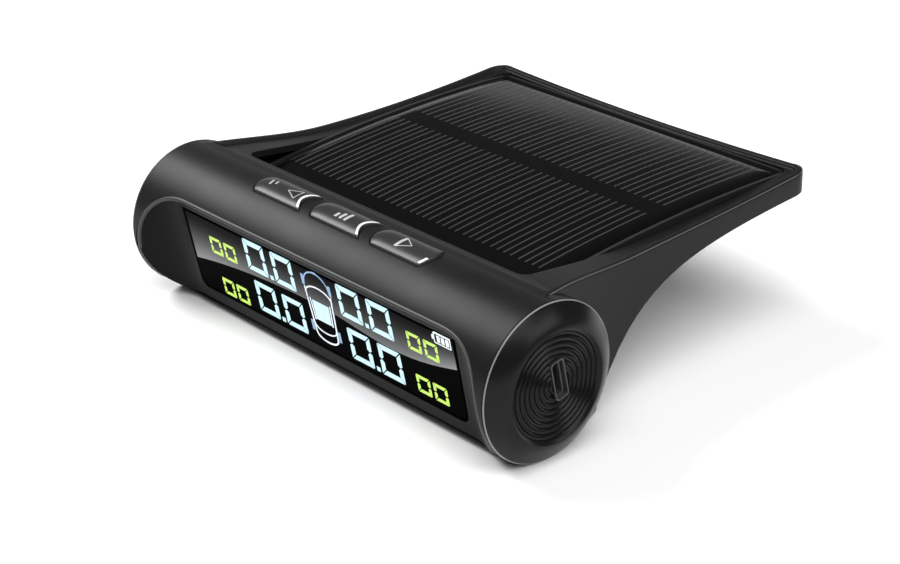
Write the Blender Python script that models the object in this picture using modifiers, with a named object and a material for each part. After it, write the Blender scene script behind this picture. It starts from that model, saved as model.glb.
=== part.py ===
"""Solar tyre pressure monitor for a dashboard, as an assembly of separate parts.

A round barrel runs along X and carries the display on its front, three keys on its crown and a
charging socket in its right end. A wing spreads backwards from it and holds the solar panel.
Units are metres, +Z is up and the display looks towards -Y. The origin is under the middle of the
whole object, on the surface that it stands on.
"""
from math import cos, exp, pi, radians, sin, sqrt

import bmesh
import bpy
from mathutils import Matrix, Vector

MM = 0.001

# ---------------------------------------------------------------- driving dimensions
LENGTH = 95.0 * MM                    # over the domed ends of the barrel
DEPTH = 81.0 * MM                     # barrel front to the rear edge of the wing
HEIGHT = 26.0 * MM                    # barrel diameter, and the height of the wing's corners
REAR_WIDTH = 76.0 * MM                # wing width at its rear edge
BARREL_RADIUS = HEIGHT / 2
WALL = 1.5 * MM
GAP = 0.3 * MM                        # between neighbouring parts
TILT = radians(11.0)                  # the display leans back at its foot

AXIS_Y = -DEPTH / 2 + BARREL_RADIUS   # barrel axis
AXIS_Z = BARREL_RADIUS
REAR_BACK = DEPTH - BARREL_RADIUS     # rear edge, from the barrel axis

# barrel ends
DOME_RISE = 2.1 * MM
RIM_X = LENGTH / 2 - DOME_RISE
RIM_THICKNESS = 0.7 * MM
CAP_X = RIM_X - RIM_THICKNESS
BARREL_END = CAP_X - GAP
BORE_RADIUS = BARREL_RADIUS - WALL

# wing
REAR_HALF = REAR_WIDTH / 2
FLARE = 6.0 * MM                      # extra half width where the wing leaves the barrel
FLARE_DECAY = 18.5 * MM
CORNER_RADIUS = 3.2 * MM
CORNER_START = REAR_BACK - CORNER_RADIUS
DIP = 1.9 * MM                        # how far the side edges sink between barrel and rear
DIP_AT = 25.0 * MM                    # behind the barrel axis
REAR_SAG = 0.8 * MM                   # the rear edge sinks this much in its middle
FLANGE = 1.7 * MM                     # top skin round the panel
RIM_WIDTH = 1.4 * MM
RIM_STEP = 0.5 * MM
UNDER_LEVEL = 18.84 * MM              # the underside climbs steeply, then runs nearly level
UNDER_SLOPE = 0.045
UNDER_FALL = 86.2 * MM
UNDER_DECAY = 9.8 * MM
FLOOR_SKIN = 0.85 * MM
FIRST_BURY = 0.12 * MM                # keeps the first section off the barrel's crown
PARTING_Z = 1.6 * MM                  # upper housing above, lower housing below

# solar panel
WELL_HALF = 35.0 * MM
WELL_FRONT = 4.9 * MM                 # behind the barrel axis
WELL_REAR = 66.4 * MM
WELL_RADIUS = 2.0 * MM
PANEL_HALF = 33.8 * MM
PANEL_FRONT = 8.2 * MM
PANEL_REAR = 65.2 * MM
PANEL_HIGH = 25.1 * MM
PANEL_CREST = 52.0 * MM
PANEL_DROP = 3.0 * MM                 # from the crest to the front edge
COVER_THICKNESS = 0.8 * MM
CELL_THICKNESS = 0.3 * MM
TRAY_THICKNESS = 0.6 * MM
TRAY_WALL_TOP = 23.9 * MM             # its front wall rises behind the barrel's crown
LAYER_GAP = 0.15 * MM
CELL_INSET = 1.6 * MM
CELL_SPLIT = 38.5 * MM                # plain band between the two rows of cells
CELL_BAND = 4.0 * MM

# front opening of the barrel and the display stack behind it
OPENING_TOP = 8.1 * MM                # above the barrel axis
FACE_TOP_Y = -9.5 * MM                # where the tilted face meets the opening's top edge
FACE_TOP_Z = 7.9 * MM
FACE_HALF = 35.6 * MM                 # flat middle of the face, before its ends curl forward
BOWL_WIDTH = 9.6 * MM
BOWL_DEPTH = 10.0 * MM
BEZEL_THICKNESS = 1.4 * MM
WINDOW_TOP = -1.6 * MM
WINDOW_BOTTOM = -17.1 * MM
WINDOW_HALF_TOP = 34.9 * MM
WINDOW_HALF_BOTTOM = 34.6 * MM
WINDOW_RADIUS = 1.8 * MM
WINDOW_THICKNESS = 1.2 * MM
WINDOW_SUNK = 0.05 * MM
LCD_FRONT = -1.6 * MM
LCD_HALF = 34.6 * MM
LCD_TOP = -2.4 * MM
LCD_BOTTOM = -16.4 * MM
LCD_THICKNESS = 1.8 * MM
BACKLIGHT_THICKNESS = 1.6 * MM
CONNECTOR_HEIGHT = 1.5 * MM
BOARD_FRONT = -6.4 * MM
BOARD_THICKNESS = 1.0 * MM
BOARD_LEFT = -40.2 * MM
BOARD_RIGHT = 44.6 * MM
BOARD_TOP = -3.2 * MM
BOARD_BOTTOM = -17.0 * MM
POST_U = 38.4 * MM
POST_V = -10.0 * MM
POST_RADIUS = 1.6 * MM
POST_BORE = 0.5 * MM
BOARD_HOLE = 0.9 * MM
SEAT_GAP = 0.1 * MM                   # under a component that is soldered on

# keys
KEY_PITCH = 15.2 * MM
KEY_LENGTH = 13.7 * MM
KEY_FRONT = -4.2 * MM                 # from the barrel axis
KEY_REAR = 1.1 * MM
KEY_BOW = 1.7 * MM                    # the rounded left end of a key nests in its neighbour
KEY_PROUD = 0.45 * MM
KEY_TRAVEL = 0.4 * MM
KEY_CLEARANCE = 0.3 * MM
KEY_FOOT = 10.75 * MM                 # underside of a key, above the barrel axis
KEY_BOARD_Z = 7.9 * MM
KEY_BOARD_THICKNESS = 0.7 * MM
KEY_BOARD_HALF_X = 25.0 * MM
KEY_BOARD_HALF_Y = 4.6 * MM
SWITCH_HALF_X = 2.25 * MM
SWITCH_HALF_Y = 2.0 * MM
SWITCH_HEIGHT = 0.75 * MM
SWITCH_WELL_RADIUS = 1.1 * MM
PLUNGER_RADIUS = 0.8 * MM
PLUNGER_PROUD = 0.45 * MM             # above its switch
STEM_HALF_X = 1.2 * MM
STEM_HALF_Y = 1.0 * MM

# charging socket, in the display's tilted frame
SOCKET_V = -8.6 * MM
SOCKET_DEPTH = 1.9 * MM
SOCKET_WIDTH = 6.2 * MM
SOCKET_LENGTH = 5.2 * MM
SOCKET_WALL = 0.3 * MM
SOCKET_RADIUS = 0.5 * MM
SOCKET_INSET = 0.8 * MM               # its mouth, behind the disc's crown
TONGUE_HALF_DEPTH = 0.3 * MM
TONGUE_HALF_WIDTH = 1.7 * MM

# end discs
DISC_DISH = 0.3 * MM                  # the ridged middle lies this far behind the crown
RIDGES = 8
RIDGE_START = 0.7 * MM
RIDGE_PITCH = 1.0 * MM
RIDGE_DEPTH = 0.25 * MM
CROWN_RADIUS = 9.2 * MM
SPIGOT_DEPTH = 3.0 * MM

# foot and battery
FOOT_HALF = 19.0 * MM
FOOT_FRONT = 6.0 * MM
FOOT_REAR = 31.0 * MM
FOOT_TOP = 14.5 * MM
FOOT_WALL = 1.4 * MM
PAD_THICKNESS = 0.8 * MM
PAD_HALF_X = 16.5 * MM
PAD_FRONT = 8.5 * MM
PAD_REAR = 28.5 * MM
PAD_RADIUS = 2.0 * MM
BATTERY_SIZE = Vector((30.0, 20.0, 7.6)) * MM

# fasteners
BOSS_X = 37.8 * MM
BOSS_Y = 10.4 * MM
BOSS_RADIUS = 2.3 * MM
SCREW_HEAD_RADIUS = 1.5 * MM
SCREW_HEAD_HEIGHT = 0.7 * MM
SCREW_RADIUS = 0.7 * MM
SCREW_LENGTH = 6.5 * MM
BOARD_SCREW_HEAD_RADIUS = 1.3 * MM
BOARD_SCREW_RADIUS = 0.4 * MM
BOARD_SCREW_LENGTH = 3.6 * MM
CROSS_HALF_LENGTH = 0.9 * MM          # cross slot in a screw's head
CROSS_HALF_WIDTH = 0.18 * MM
CROSS_DEPTH = 0.35 * MM

ROUND_STEPS = 72

# components behind the main board, in millimetres on the display's frame:
# centre across, centre up, width, height, thickness, edge rounding, finish
BOARD_COMPONENTS = {
    "microcontroller": (-4.0, -10.0, 7.0, 7.0, 1.0, 0.0, "chip"),
    "radio_shield": (14.0, -9.5, 13.0, 10.0, 2.2, 0.25, "steel"),
    "crystal": (-12.0, -7.0, 3.2, 2.5, 0.8, 0.0, "steel"),
    "charge_controller": (34.0, -13.0, 3.0, 3.0, 0.9, 0.0, "chip"),
    "battery_connector": (28.0, -6.5, 6.0, 4.2, 3.2, 0.0, "white"),
    "light_sensor": (-34.0, -6.0, 2.0, 1.6, 0.7, 0.0, "lcd"),
}
BUZZER_CENTRE = (-22.0 * MM, -10.5 * MM)
BUZZER_RADIUS = 4.4 * MM
BUZZER_HEIGHT = 3.6 * MM
COIL_START = (21.6 * MM, -14.8 * MM)
COIL_TURNS = 6
COIL_PITCH = 1.3 * MM
COIL_RADIUS = 1.7 * MM
COIL_WIRE = 0.3 * MM


# ---------------------------------------------------------------- outline formulas
# A distance called "back" runs backwards from the barrel axis.
def world(x, back, z):
    """A point given from the barrel axis's plane, in the object's own frame."""
    return Vector((x, AXIS_Y + back, z))


def side_half(back, inset=0.0):
    """Half width of the wing with its rounded rear corners, or of an outline inset from it."""
    half = REAR_HALF + FLARE * exp(-back / FLARE_DECAY) - inset
    radius = CORNER_RADIUS - inset
    past = back - CORNER_START
    if past > 0:
        half -= radius - sqrt(max(radius ** 2 - past ** 2, 0.0))
    return half


def edge_height(back):
    """Height of the wing's side edges."""
    if back < DIP_AT:
        t = back / DIP_AT
        return HEIGHT - DIP * t * t * (3 - 2 * t)
    t = (back - DIP_AT) / (REAR_BACK - DIP_AT)
    return HEIGHT - DIP * (1 - t * t)


def top_height(x, back):
    """Height of the wing's top, which also sinks towards the middle of the rear edge."""
    sag = REAR_SAG * back / REAR_BACK
    return edge_height(back) - sag * (1 - min(abs(x) / side_half(back), 1.0) ** 2)


def underside(back):
    """Height of the wing's underside."""
    height = UNDER_LEVEL + UNDER_SLOPE * back - UNDER_FALL * exp(-back / UNDER_DECAY)
    return max(height, 0.0)


def panel_height(back):
    """Height of the solar panel's arched top."""
    t = (PANEL_CREST - back) / (PANEL_CREST - PANEL_FRONT)
    return PANEL_HIGH - PANEL_DROP * t * t


def steps(low, high, count):
    """Evenly spaced values from low to high, both included."""
    return [low + (high - low) * i / count for i in range(count + 1)]


def wing_stations(start, inset=0.0):
    """Distances back at which the wing is sectioned, closer together where it curves."""
    near = steps(start, 16 * MM, 6)
    far = steps(near[-1], CORNER_START, 8)[1:]
    radius = CORNER_RADIUS - inset
    turn = [CORNER_START + radius * sin(pi / 2 * i / 5) for i in range(1, 6)]
    return near + far + turn


# ---------------------------------------------------------------- frames
def display_frame():
    """X along the barrel, Y up the display's face and Z out of it."""
    x_axis = Vector((1, 0, 0))
    y_axis = Vector((0, -sin(TILT), cos(TILT)))
    z_axis = Vector((0, -cos(TILT), -sin(TILT)))
    frame = Matrix((x_axis, y_axis, z_axis)).transposed().to_4x4()
    frame.translation = world(0, FACE_TOP_Y, AXIS_Z + FACE_TOP_Z)
    return frame


DISPLAY = display_frame()
LEVEL = Matrix.Translation(world(0, 0, 0))                 # plan view: x, back, height
FRONTAL = LEVEL @ Matrix.Rotation(pi / 2, 4, "X")          # front view: x, height, towards viewer
ENDWISE = DISPLAY @ Matrix.Rotation(pi / 2, 4, "Y")        # section: local Z runs along +X


# ---------------------------------------------------------------- scene and materials
def clear_scene():
    for obj in list(bpy.data.objects):
        bpy.data.objects.remove(obj, do_unlink=True)
    for group in list(bpy.data.collections):
        bpy.data.collections.remove(group)


def new_collection(name):
    group = bpy.data.collections.new(name)
    bpy.context.scene.collection.children.link(group)
    return group


def new_material(name, colour, roughness, metallic=0.0, alpha=1.0):
    material = bpy.data.materials.new(name)
    material.use_nodes = True
    shader = material.node_tree.nodes["Principled BSDF"]
    shader.inputs["Base Color"].default_value = (*colour, 1.0)
    shader.inputs["Roughness"].default_value = roughness
    shader.inputs["Metallic"].default_value = metallic
    shader.inputs["Alpha"].default_value = alpha
    return material


clear_scene()
PARTS = new_collection("tyre_pressure_monitor")
CUTTERS = new_collection("cutters")

FINISHES = {
    "housing": ((0.035, 0.035, 0.037), 0.42),
    "bezel": ((0.012, 0.012, 0.013), 0.18),
    "window": ((0.004, 0.004, 0.005), 0.05),
    "lcd": ((0.03, 0.04, 0.05), 0.1),
    "white": ((0.8, 0.8, 0.78), 0.5),
    "key": ((0.02, 0.02, 0.021), 0.12),
    "board": ((0.01, 0.12, 0.05), 0.45),
    "chip": ((0.01, 0.01, 0.01), 0.5),
    "steel": ((0.6, 0.6, 0.62), 0.3, 1.0),
    "gold": ((0.75, 0.55, 0.25), 0.3, 1.0),
    "panel": ((0.005, 0.005, 0.007), 0.08),
    "cell": ((0.01, 0.012, 0.03), 0.25),
    "tray": ((0.01, 0.01, 0.01), 0.5),
    "rubber": ((0.015, 0.015, 0.015), 0.85),
    "foam": ((0.05, 0.05, 0.05), 0.95),
    "battery": ((0.55, 0.57, 0.6), 0.35, 0.6),
    "red": ((0.5, 0.02, 0.02), 0.5),
    "black": ((0.01, 0.01, 0.01), 0.5),
}


# ---------------------------------------------------------------- building blocks
def put(obj, finish):
    """File an object as a visible part with its own material, or as a cutter."""
    for group in list(obj.users_collection):
        group.objects.unlink(obj)
    if finish is None:
        CUTTERS.objects.link(obj)
        obj.hide_render = True
        obj.display_type = "WIRE"
        return obj
    PARTS.objects.link(obj)
    obj.data.materials.clear()
    obj.data.materials.append(new_material(obj.name + "_finish", *FINISHES[finish]))
    obj.data.shade_smooth()
    obj.data.set_sharp_from_angle(angle=radians(32))
    return obj


def from_bmesh(name, mesh, finish):
    bmesh.ops.recalc_face_normals(mesh, faces=mesh.faces)
    if mesh.calc_volume(signed=True) < 0:
        bmesh.ops.reverse_faces(mesh, faces=mesh.faces)
    data = bpy.data.meshes.new(name)
    mesh.to_mesh(data)
    mesh.free()
    obj = bpy.data.objects.new(name, data)
    bpy.context.scene.collection.objects.link(obj)
    return put(obj, finish)


def box(name, low, high, finish, frame=LEVEL, bevel=0.0):
    """A box between two corners of a frame."""
    low, high = Vector(low), Vector(high)
    mesh = bmesh.new()
    bmesh.ops.create_cube(mesh, size=1.0)
    size = high - low
    bmesh.ops.scale(mesh, vec=size, verts=mesh.verts)
    bmesh.ops.translate(mesh, vec=(low + high) / 2, verts=mesh.verts)
    if bevel:
        bmesh.ops.bevel(mesh, geom=mesh.edges[:], offset=bevel, segments=2, affect="EDGES", profile=0.5)
    mesh.transform(frame)
    return from_bmesh(name, mesh, finish)


def rod(name, radius, low, high, finish, frame, sides=24):
    """A cylinder from one centre to another, along the frame's local Z."""
    low, high = Vector(low), Vector(high)
    mesh = bmesh.new()
    bmesh.ops.create_cone(mesh, cap_ends=True, segments=sides, radius1=radius, radius2=radius,
                          depth=(high - low).length)
    bmesh.ops.translate(mesh, vec=(low + high) / 2, verts=mesh.verts)
    mesh.transform(frame)
    return from_bmesh(name, mesh, finish)


def barrel(name, radius, half_length, finish=None, sides=ROUND_STEPS):
    """A cylinder on the barrel axis."""
    frame = Matrix.Translation(world(0, 0, AXIS_Z)) @ Matrix.Rotation(pi / 2, 4, "Y")
    return rod(name, radius, (0, 0, -half_length), (0, 0, half_length), finish, frame, sides)


def outline_solid(name, points, low, high, finish, frame):
    """A flat outline given thickness between two levels of a frame."""
    curve = bpy.data.curves.new(name + "_outline", "CURVE")
    curve.dimensions = "2D"
    curve.fill_mode = "BOTH"
    curve.extrude = (high - low) / 2
    spline = curve.splines.new("POLY")
    spline.points.add(len(points) - 1)
    for target, (x, y) in zip(spline.points, points):
        target.co = (x, y, 0, 1)
    spline.use_cyclic_u = True
    flat = bpy.data.objects.new(name + "_outline", curve)
    bpy.context.scene.collection.objects.link(flat)
    evaluated = flat.evaluated_get(bpy.context.evaluated_depsgraph_get())
    mesh = bmesh.new()
    mesh.from_mesh(bpy.data.meshes.new_from_object(evaluated))
    bmesh.ops.remove_doubles(mesh, verts=mesh.verts, dist=0.001 * MM)
    bmesh.ops.translate(mesh, vec=(0, 0, (low + high) / 2), verts=mesh.verts)
    mesh.transform(frame)
    bpy.data.objects.remove(flat, do_unlink=True)
    return from_bmesh(name, mesh, finish)


def loft(name, rings, finish):
    """A closed solid through matching rings of points."""
    mesh = bmesh.new()
    rows = [[mesh.verts.new(point) for point in ring] for ring in rings]
    count = len(rows[0])
    for row, following in zip(rows, rows[1:]):
        for i in range(count):
            j = (i + 1) % count
            mesh.faces.new((row[i], row[j], following[j], following[i]))
    mesh.faces.new(rows[0])
    mesh.faces.new(rows[-1])
    return from_bmesh(name, mesh, finish)


def wing_ring(back, half, low, high, columns=8):
    """One section of the wing: a flat bottom, and a top that follows a height formula."""
    ring = [world(-half, back, low), world(half, back, low)]
    for x in reversed(steps(-half, half, columns)):
        ring.append(world(x, back, high(x)))
    return ring


def turned(name, profile, direction, finish, sides=48):
    """A profile of (radius, distance along) pairs turned about the barrel axis."""
    data = bpy.data.meshes.new(name)
    points = [(radius, 0, along) for radius, along in profile]
    data.from_pydata(points, [(i, i + 1) for i in range(len(points) - 1)], [])
    obj = bpy.data.objects.new(name, data)
    bpy.context.scene.collection.objects.link(obj)
    obj.matrix_world = Matrix.Translation(world(0, 0, AXIS_Z)) @ Matrix.Rotation(direction * pi / 2, 4, "Y")
    screw = obj.modifiers.new("Turn", "SCREW")
    screw.steps = sides
    screw.render_steps = sides
    screw.use_merge_vertices = True
    screw.merge_threshold = 0.01 * MM
    return put(obj, finish)


def centre_on(obj, point):
    """Put an object's origin at a point without moving its shape."""
    obj.data.transform(Matrix.Translation(-point))
    obj.location = point
    return obj


def combine(obj, tool, operation="DIFFERENCE"):
    modifier = obj.modifiers.new(operation.title(), "BOOLEAN")
    modifier.operation = operation
    modifier.object = tool
    modifier.solver = "EXACT"
    return obj


def rounded_outline(low_x, low_y, high_x, high_y, radii, segments=4):
    """Corner arcs of a rectangle, from its lower left corner anticlockwise."""
    corners = [(low_x, low_y, pi), (high_x, low_y, 1.5 * pi), (high_x, high_y, 0), (low_x, high_y, 0.5 * pi)]
    points = []
    for (x, y, start), radius in zip(corners, radii):
        centre_x = x + radius * (1 if x == low_x else -1)
        centre_y = y + radius * (1 if y == low_y else -1)
        for i in range(segments + 1):
            angle = start + pi / 2 * i / segments
            points.append((centre_x + radius * cos(angle), centre_y + radius * sin(angle)))
    return points


# ---------------------------------------------------------------- shared cutters
def wing_solid():
    """The wing's outer form, from inside the barrel, where its first section is a little lower."""
    rings = []
    for back in wing_stations(0.0):
        bury = FIRST_BURY if back == 0 else 0.0
        rings.append(wing_ring(back, side_half(back), underside(back) + bury,
                               lambda x, b=back, s=bury: top_height(x, b) - s))
    return loft("wing_form", rings, None)


def wing_inner():
    """The space inside the side walls and under the top skin."""
    rings = []
    for back in wing_stations(0.5 * MM, WALL):
        rings.append(wing_ring(back, side_half(back, WALL), -5 * MM,
                               lambda x, b=back: top_height(x, b) - FLANGE))
    return loft("wing_inner", rings, None)


def rim_recess():
    """The shallow step inside the wing's raised rim."""
    rings = []
    for back in wing_stations(3.0 * MM, RIM_WIDTH):
        rings.append(wing_ring(back, side_half(back, RIM_WIDTH), top_height(0, back) - RIM_STEP,
                               lambda x: HEIGHT + 2 * MM, columns=1))
    return loft("rim_recess", rings, None)


def opening_outline(inset, side, bottom):
    """Front opening of the barrel: level on top, sweeping down to the barrel's ends."""
    start = Vector((33.0 * MM, OPENING_TOP - inset))
    first = Vector((43.5 * MM - inset, OPENING_TOP - inset))
    second = Vector((44.0 * MM - inset, 1.0 * MM))
    end = Vector((side, -7.0 * MM))
    half = []
    for t in steps(0.0, 1.0, 10):
        s = 1 - t
        point = start * s ** 3 + first * (3 * s * s * t) + second * (3 * s * t * t) + end * t ** 3
        half.append((min(point.x, side), AXIS_Z + point.y))
    half.append((side, bottom))
    return half + [(-x, z) for x, z in reversed(half)]


def key_outline(index, grow=0.0):
    """Plan of one key: bowed left end, hollow right end that its neighbour nests in."""
    middle = (index - 1) * KEY_PITCH
    left = middle - KEY_LENGTH / 2 - grow
    right = middle + KEY_LENGTH / 2 + grow
    front, rear = KEY_FRONT - grow, KEY_REAR + grow
    centre = (front + rear) / 2
    half = (rear - front) / 2
    right_bow = -KEY_BOW if index < 2 else KEY_BOW * 0.5
    points = []
    for t in steps(-1.0, 1.0, 8):
        points.append((right - max(right_bow, 0) + right_bow * (1 - t * t), centre + t * half))
    for i in range(9):
        angle = pi / 2 * (1 - i / 4)
        points.append((left + KEY_BOW * (1 - cos(angle)), centre + half * sin(angle)))
    return points


# ---------------------------------------------------------------- housings
def upper_housing(wing, front_opening):
    obj = barrel("upper_housing", BARREL_RADIUS, BARREL_END, "housing")
    combine(obj, wing, "UNION")
    combine(obj, barrel("bore", BORE_RADIUS, LENGTH, sides=48))
    combine(obj, wing_inner())
    combine(obj, rim_recess())
    well = rounded_outline(-WELL_HALF, WELL_FRONT, WELL_HALF, WELL_REAR, [WELL_RADIUS] * 4)
    combine(obj, outline_solid("well", well, 15 * MM, HEIGHT + 5 * MM, None, LEVEL))
    for side in (-1, 1):
        name = "boss_right" if side > 0 else "boss_left"
        low = (side * BOSS_X, BOSS_Y, PARTING_Z)
        high = (side * BOSS_X, BOSS_Y, edge_height(BOSS_Y) - RIM_STEP - 0.4 * MM)
        combine(obj, rod(name, BOSS_RADIUS, low, high, None, LEVEL), "UNION")
        high = (side * BOSS_X, BOSS_Y, 10 * MM)
        low = (side * BOSS_X, BOSS_Y, -1 * MM)
        combine(obj, rod(name + "_pilot", SCREW_RADIUS + 0.15 * MM, low, high, None, LEVEL, 12))
    low = (-LENGTH, -DEPTH, -9 * MM)
    high = (LENGTH, DEPTH, PARTING_Z + GAP / 2)
    combine(obj, box("below_parting", low, high, None))
    combine(obj, front_opening)
    for i in range(3):
        outline = key_outline(i, KEY_CLEARANCE)
        combine(obj, outline_solid(f"key_hole_{i}", outline, HEIGHT - 5 * MM, HEIGHT + 5 * MM, None, LEVEL))
    return obj


def lower_housing(wing):
    obj = barrel("lower_housing", BARREL_RADIUS, BARREL_END, "housing")
    combine(obj, wing, "UNION")
    low = (-LENGTH, -DEPTH, PARTING_Z - GAP / 2)
    combine(obj, box("above_parting", low, (LENGTH, DEPTH, HEIGHT * 2), None))
    rings = []
    for back in wing_stations(8 * MM, WALL + GAP):
        top = max(underside(back + 0.8 * MM) + FLOOR_SKIN, PARTING_Z - GAP / 2 - 0.05 * MM)
        rings.append(wing_ring(back, side_half(back, WALL + GAP), max(underside(back), 0.05 * MM),
                               lambda x, z=top: z, columns=1))
    combine(obj, loft("underside_skin", rings, None), "UNION")
    foot = box("foot", (-FOOT_HALF, FOOT_FRONT, 0.15 * MM), (FOOT_HALF, FOOT_REAR, FOOT_TOP), None)
    soften = foot.modifiers.new("Soften", "BEVEL")
    soften.width = 2.0 * MM
    soften.segments = 3
    combine(obj, foot, "UNION")
    low = (-FOOT_HALF + FOOT_WALL, FOOT_FRONT + FOOT_WALL, PAD_THICKNESS + FOOT_WALL)
    high = (FOOT_HALF - FOOT_WALL, FOOT_REAR - FOOT_WALL, HEIGHT)
    combine(obj, box("battery_bay", low, high, None))
    recess = rounded_outline(-PAD_HALF_X - GAP, PAD_FRONT - GAP, PAD_HALF_X + GAP, PAD_REAR + GAP,
                             [PAD_RADIUS + GAP] * 4)
    combine(obj, outline_solid("pad_recess", recess, -2 * MM, PAD_THICKNESS + 0.1 * MM, None, LEVEL))
    for side in (-1, 1):
        name = "screw_hole_right" if side > 0 else "screw_hole_left"
        centre = (side * BOSS_X, BOSS_Y)
        clearance = SCREW_RADIUS + GAP / 2
        combine(obj, rod(name, clearance, (*centre, -3 * MM), (*centre, 5 * MM), None, LEVEL, 16))
        combine(obj, rod(name + "_sink", SCREW_HEAD_RADIUS + GAP, (*centre, -3 * MM), (*centre, 0.9 * MM),
                         None, LEVEL, 20))
    return obj


def front_bezel():
    """Tilted face round the window, with ends that curl forward to the barrel's ends."""
    half = []
    for u in [0.0, FACE_HALF] + steps(FACE_HALF, FACE_HALF + BOWL_WIDTH * 0.96, 8)[1:]:
        t = max((u - FACE_HALF) / BOWL_WIDTH, 0.0)
        half.append((u, BOWL_DEPTH * (1 - sqrt(1 - t * t))))
    face = [(-u, w) for u, w in reversed(half[1:])] + half
    back = [(u, w - BEZEL_THICKNESS) for u, w in reversed(face)]
    section = DISPLAY @ Matrix.Rotation(pi / 2, 4, "X")
    obj = outline_solid("front_bezel", face + back, -3 * MM, 24 * MM, "bezel", section)
    combine(obj, barrel("bezel_limit", BARREL_RADIUS - 0.05 * MM, LENGTH), "INTERSECT")
    outline = opening_outline(GAP, BARREL_END - 0.1 * MM, PARTING_Z + GAP / 2)
    combine(obj, outline_solid("bezel_outline", outline, 2 * MM, 16 * MM, None, FRONTAL), "INTERSECT")
    for side in (-1, 1):
        name = "post_right" if side > 0 else "post_left"
        post = rod(name, POST_RADIUS, (side * POST_U, POST_V, BOARD_FRONT + GAP / 2),
                   (side * POST_U, POST_V, -0.5 * MM), None, DISPLAY, 20)
        combine(obj, post, "UNION")
        pilot = rod(name + "_pilot", POST_BORE, (side * POST_U, POST_V, BOARD_FRONT - 2 * MM),
                    (side * POST_U, POST_V, BOARD_FRONT + 4 * MM), None, DISPLAY, 12)
        combine(obj, pilot)
    grow = 0.25 * MM
    hole = window_outline(grow)
    combine(obj, outline_solid("window_hole", hole, -6 * MM, 4 * MM, None, DISPLAY))
    return obj


def window_outline(grow=0.0):
    """A slightly tapering pane with rounded lower corners, anticlockwise from its lower left."""
    bottom, top = WINDOW_BOTTOM - grow, WINDOW_TOP + grow
    low_half, high_half = WINDOW_HALF_BOTTOM + grow, WINDOW_HALF_TOP + grow
    points = []
    for i in range(5):
        angle = pi + pi / 2 * i / 4
        x = -low_half + WINDOW_RADIUS * (1 + cos(angle))
        points.append((x, bottom + WINDOW_RADIUS * (1 + sin(angle))))
    points += [(-x, y) for x, y in reversed(points)]
    return points + [(high_half, top), (-high_half, top)]


def end_cap(name, direction):
    """Domed disc with fine concentric ridges and a spigot that enters the barrel."""
    crown = LENGTH / 2
    land = crown - DISC_DISH
    profile = [(0.0, land)]
    for i in range(RIDGES):
        start = RIDGE_START + i * RIDGE_PITCH
        profile += [(start, land), (start + RIDGE_PITCH / 2, land - RIDGE_DEPTH)]
    profile += [(CROWN_RADIUS - 0.4 * MM, land), (CROWN_RADIUS, crown)]
    profile += [(CROWN_RADIUS + 1.4 * MM, crown - 0.55 * MM), (BARREL_RADIUS - 1.0 * MM, crown - 1.35 * MM)]
    profile += [(BARREL_RADIUS - 0.25 * MM, RIM_X + 0.15 * MM), (BARREL_RADIUS, RIM_X - 0.15 * MM)]
    profile += [(BARREL_RADIUS, CAP_X)]
    spigot = BORE_RADIUS - GAP
    bore = BORE_RADIUS - 1.5 * MM
    foot = CAP_X - SPIGOT_DEPTH
    profile += [(spigot, CAP_X), (spigot, foot), (bore, foot), (bore, RIM_X), (0.0, RIM_X + 0.1 * MM)]
    obj = turned(name, profile, direction, "housing")
    near, far = sorted((direction * (CAP_X - 4 * MM), direction * CAP_X))
    combine(obj, box(name + "_relief", (near, -30 * MM, -1.8 * MM), (far, 10 * MM, 20 * MM), None, DISPLAY))
    if direction > 0:
        slot = socket_outline(GAP)
        combine(obj, outline_solid("socket_slot", slot, RIM_X - 4 * MM, LENGTH, None, ENDWISE))
    return obj


def socket_outline(grow):
    """Section of the charging socket in the ENDWISE frame: local X is into the face's depth."""
    middle_x = -(BOARD_FRONT - BOARD_THICKNESS - GAP / 2 - SOCKET_DEPTH / 2)
    low = (middle_x - SOCKET_DEPTH / 2 - grow, SOCKET_V - SOCKET_WIDTH / 2 - grow)
    high = (middle_x + SOCKET_DEPTH / 2 + grow, SOCKET_V + SOCKET_WIDTH / 2 + grow)
    return rounded_outline(*low, *high, [SOCKET_RADIUS] * 4, segments=3)


# ---------------------------------------------------------------- display and electronics
def display_stack():
    pane_back = -WINDOW_THICKNESS - WINDOW_SUNK
    outline_solid("display_window", window_outline(), pane_back, -WINDOW_SUNK, "window", DISPLAY)
    back = LCD_FRONT - LCD_THICKNESS
    box("lcd_glass", (-LCD_HALF, LCD_BOTTOM, back), (LCD_HALF, LCD_TOP, LCD_FRONT), "lcd", DISPLAY)
    light_front = back - GAP / 2
    light_back = light_front - BACKLIGHT_THICKNESS
    light_bottom = LCD_BOTTOM + CONNECTOR_HEIGHT + 2 * GAP
    high = (LCD_HALF, LCD_TOP, light_front)
    box("lcd_backlight", (-LCD_HALF, light_bottom, light_back), high, "white", DISPLAY)
    box("lcd_connector", (-28 * MM, LCD_BOTTOM + 0.1 * MM, BOARD_FRONT + GAP / 2),
        (28 * MM, LCD_BOTTOM + 0.1 * MM + CONNECTOR_HEIGHT, light_front), "rubber", DISPLAY)
    frame = box("lcd_frame", (-LCD_HALF - 1.5 * MM, LCD_BOTTOM - 1.1 * MM, light_back - GAP),
                (LCD_HALF + 1.5 * MM, LCD_TOP + 1.1 * MM, LCD_FRONT), "white", DISPLAY)
    hollow = box("lcd_frame_hole", (-LCD_HALF - GAP, LCD_BOTTOM - GAP, BOARD_FRONT),
                 (LCD_HALF + GAP, LCD_TOP + GAP, 0), None, DISPLAY)
    combine(frame, hollow)


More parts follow.
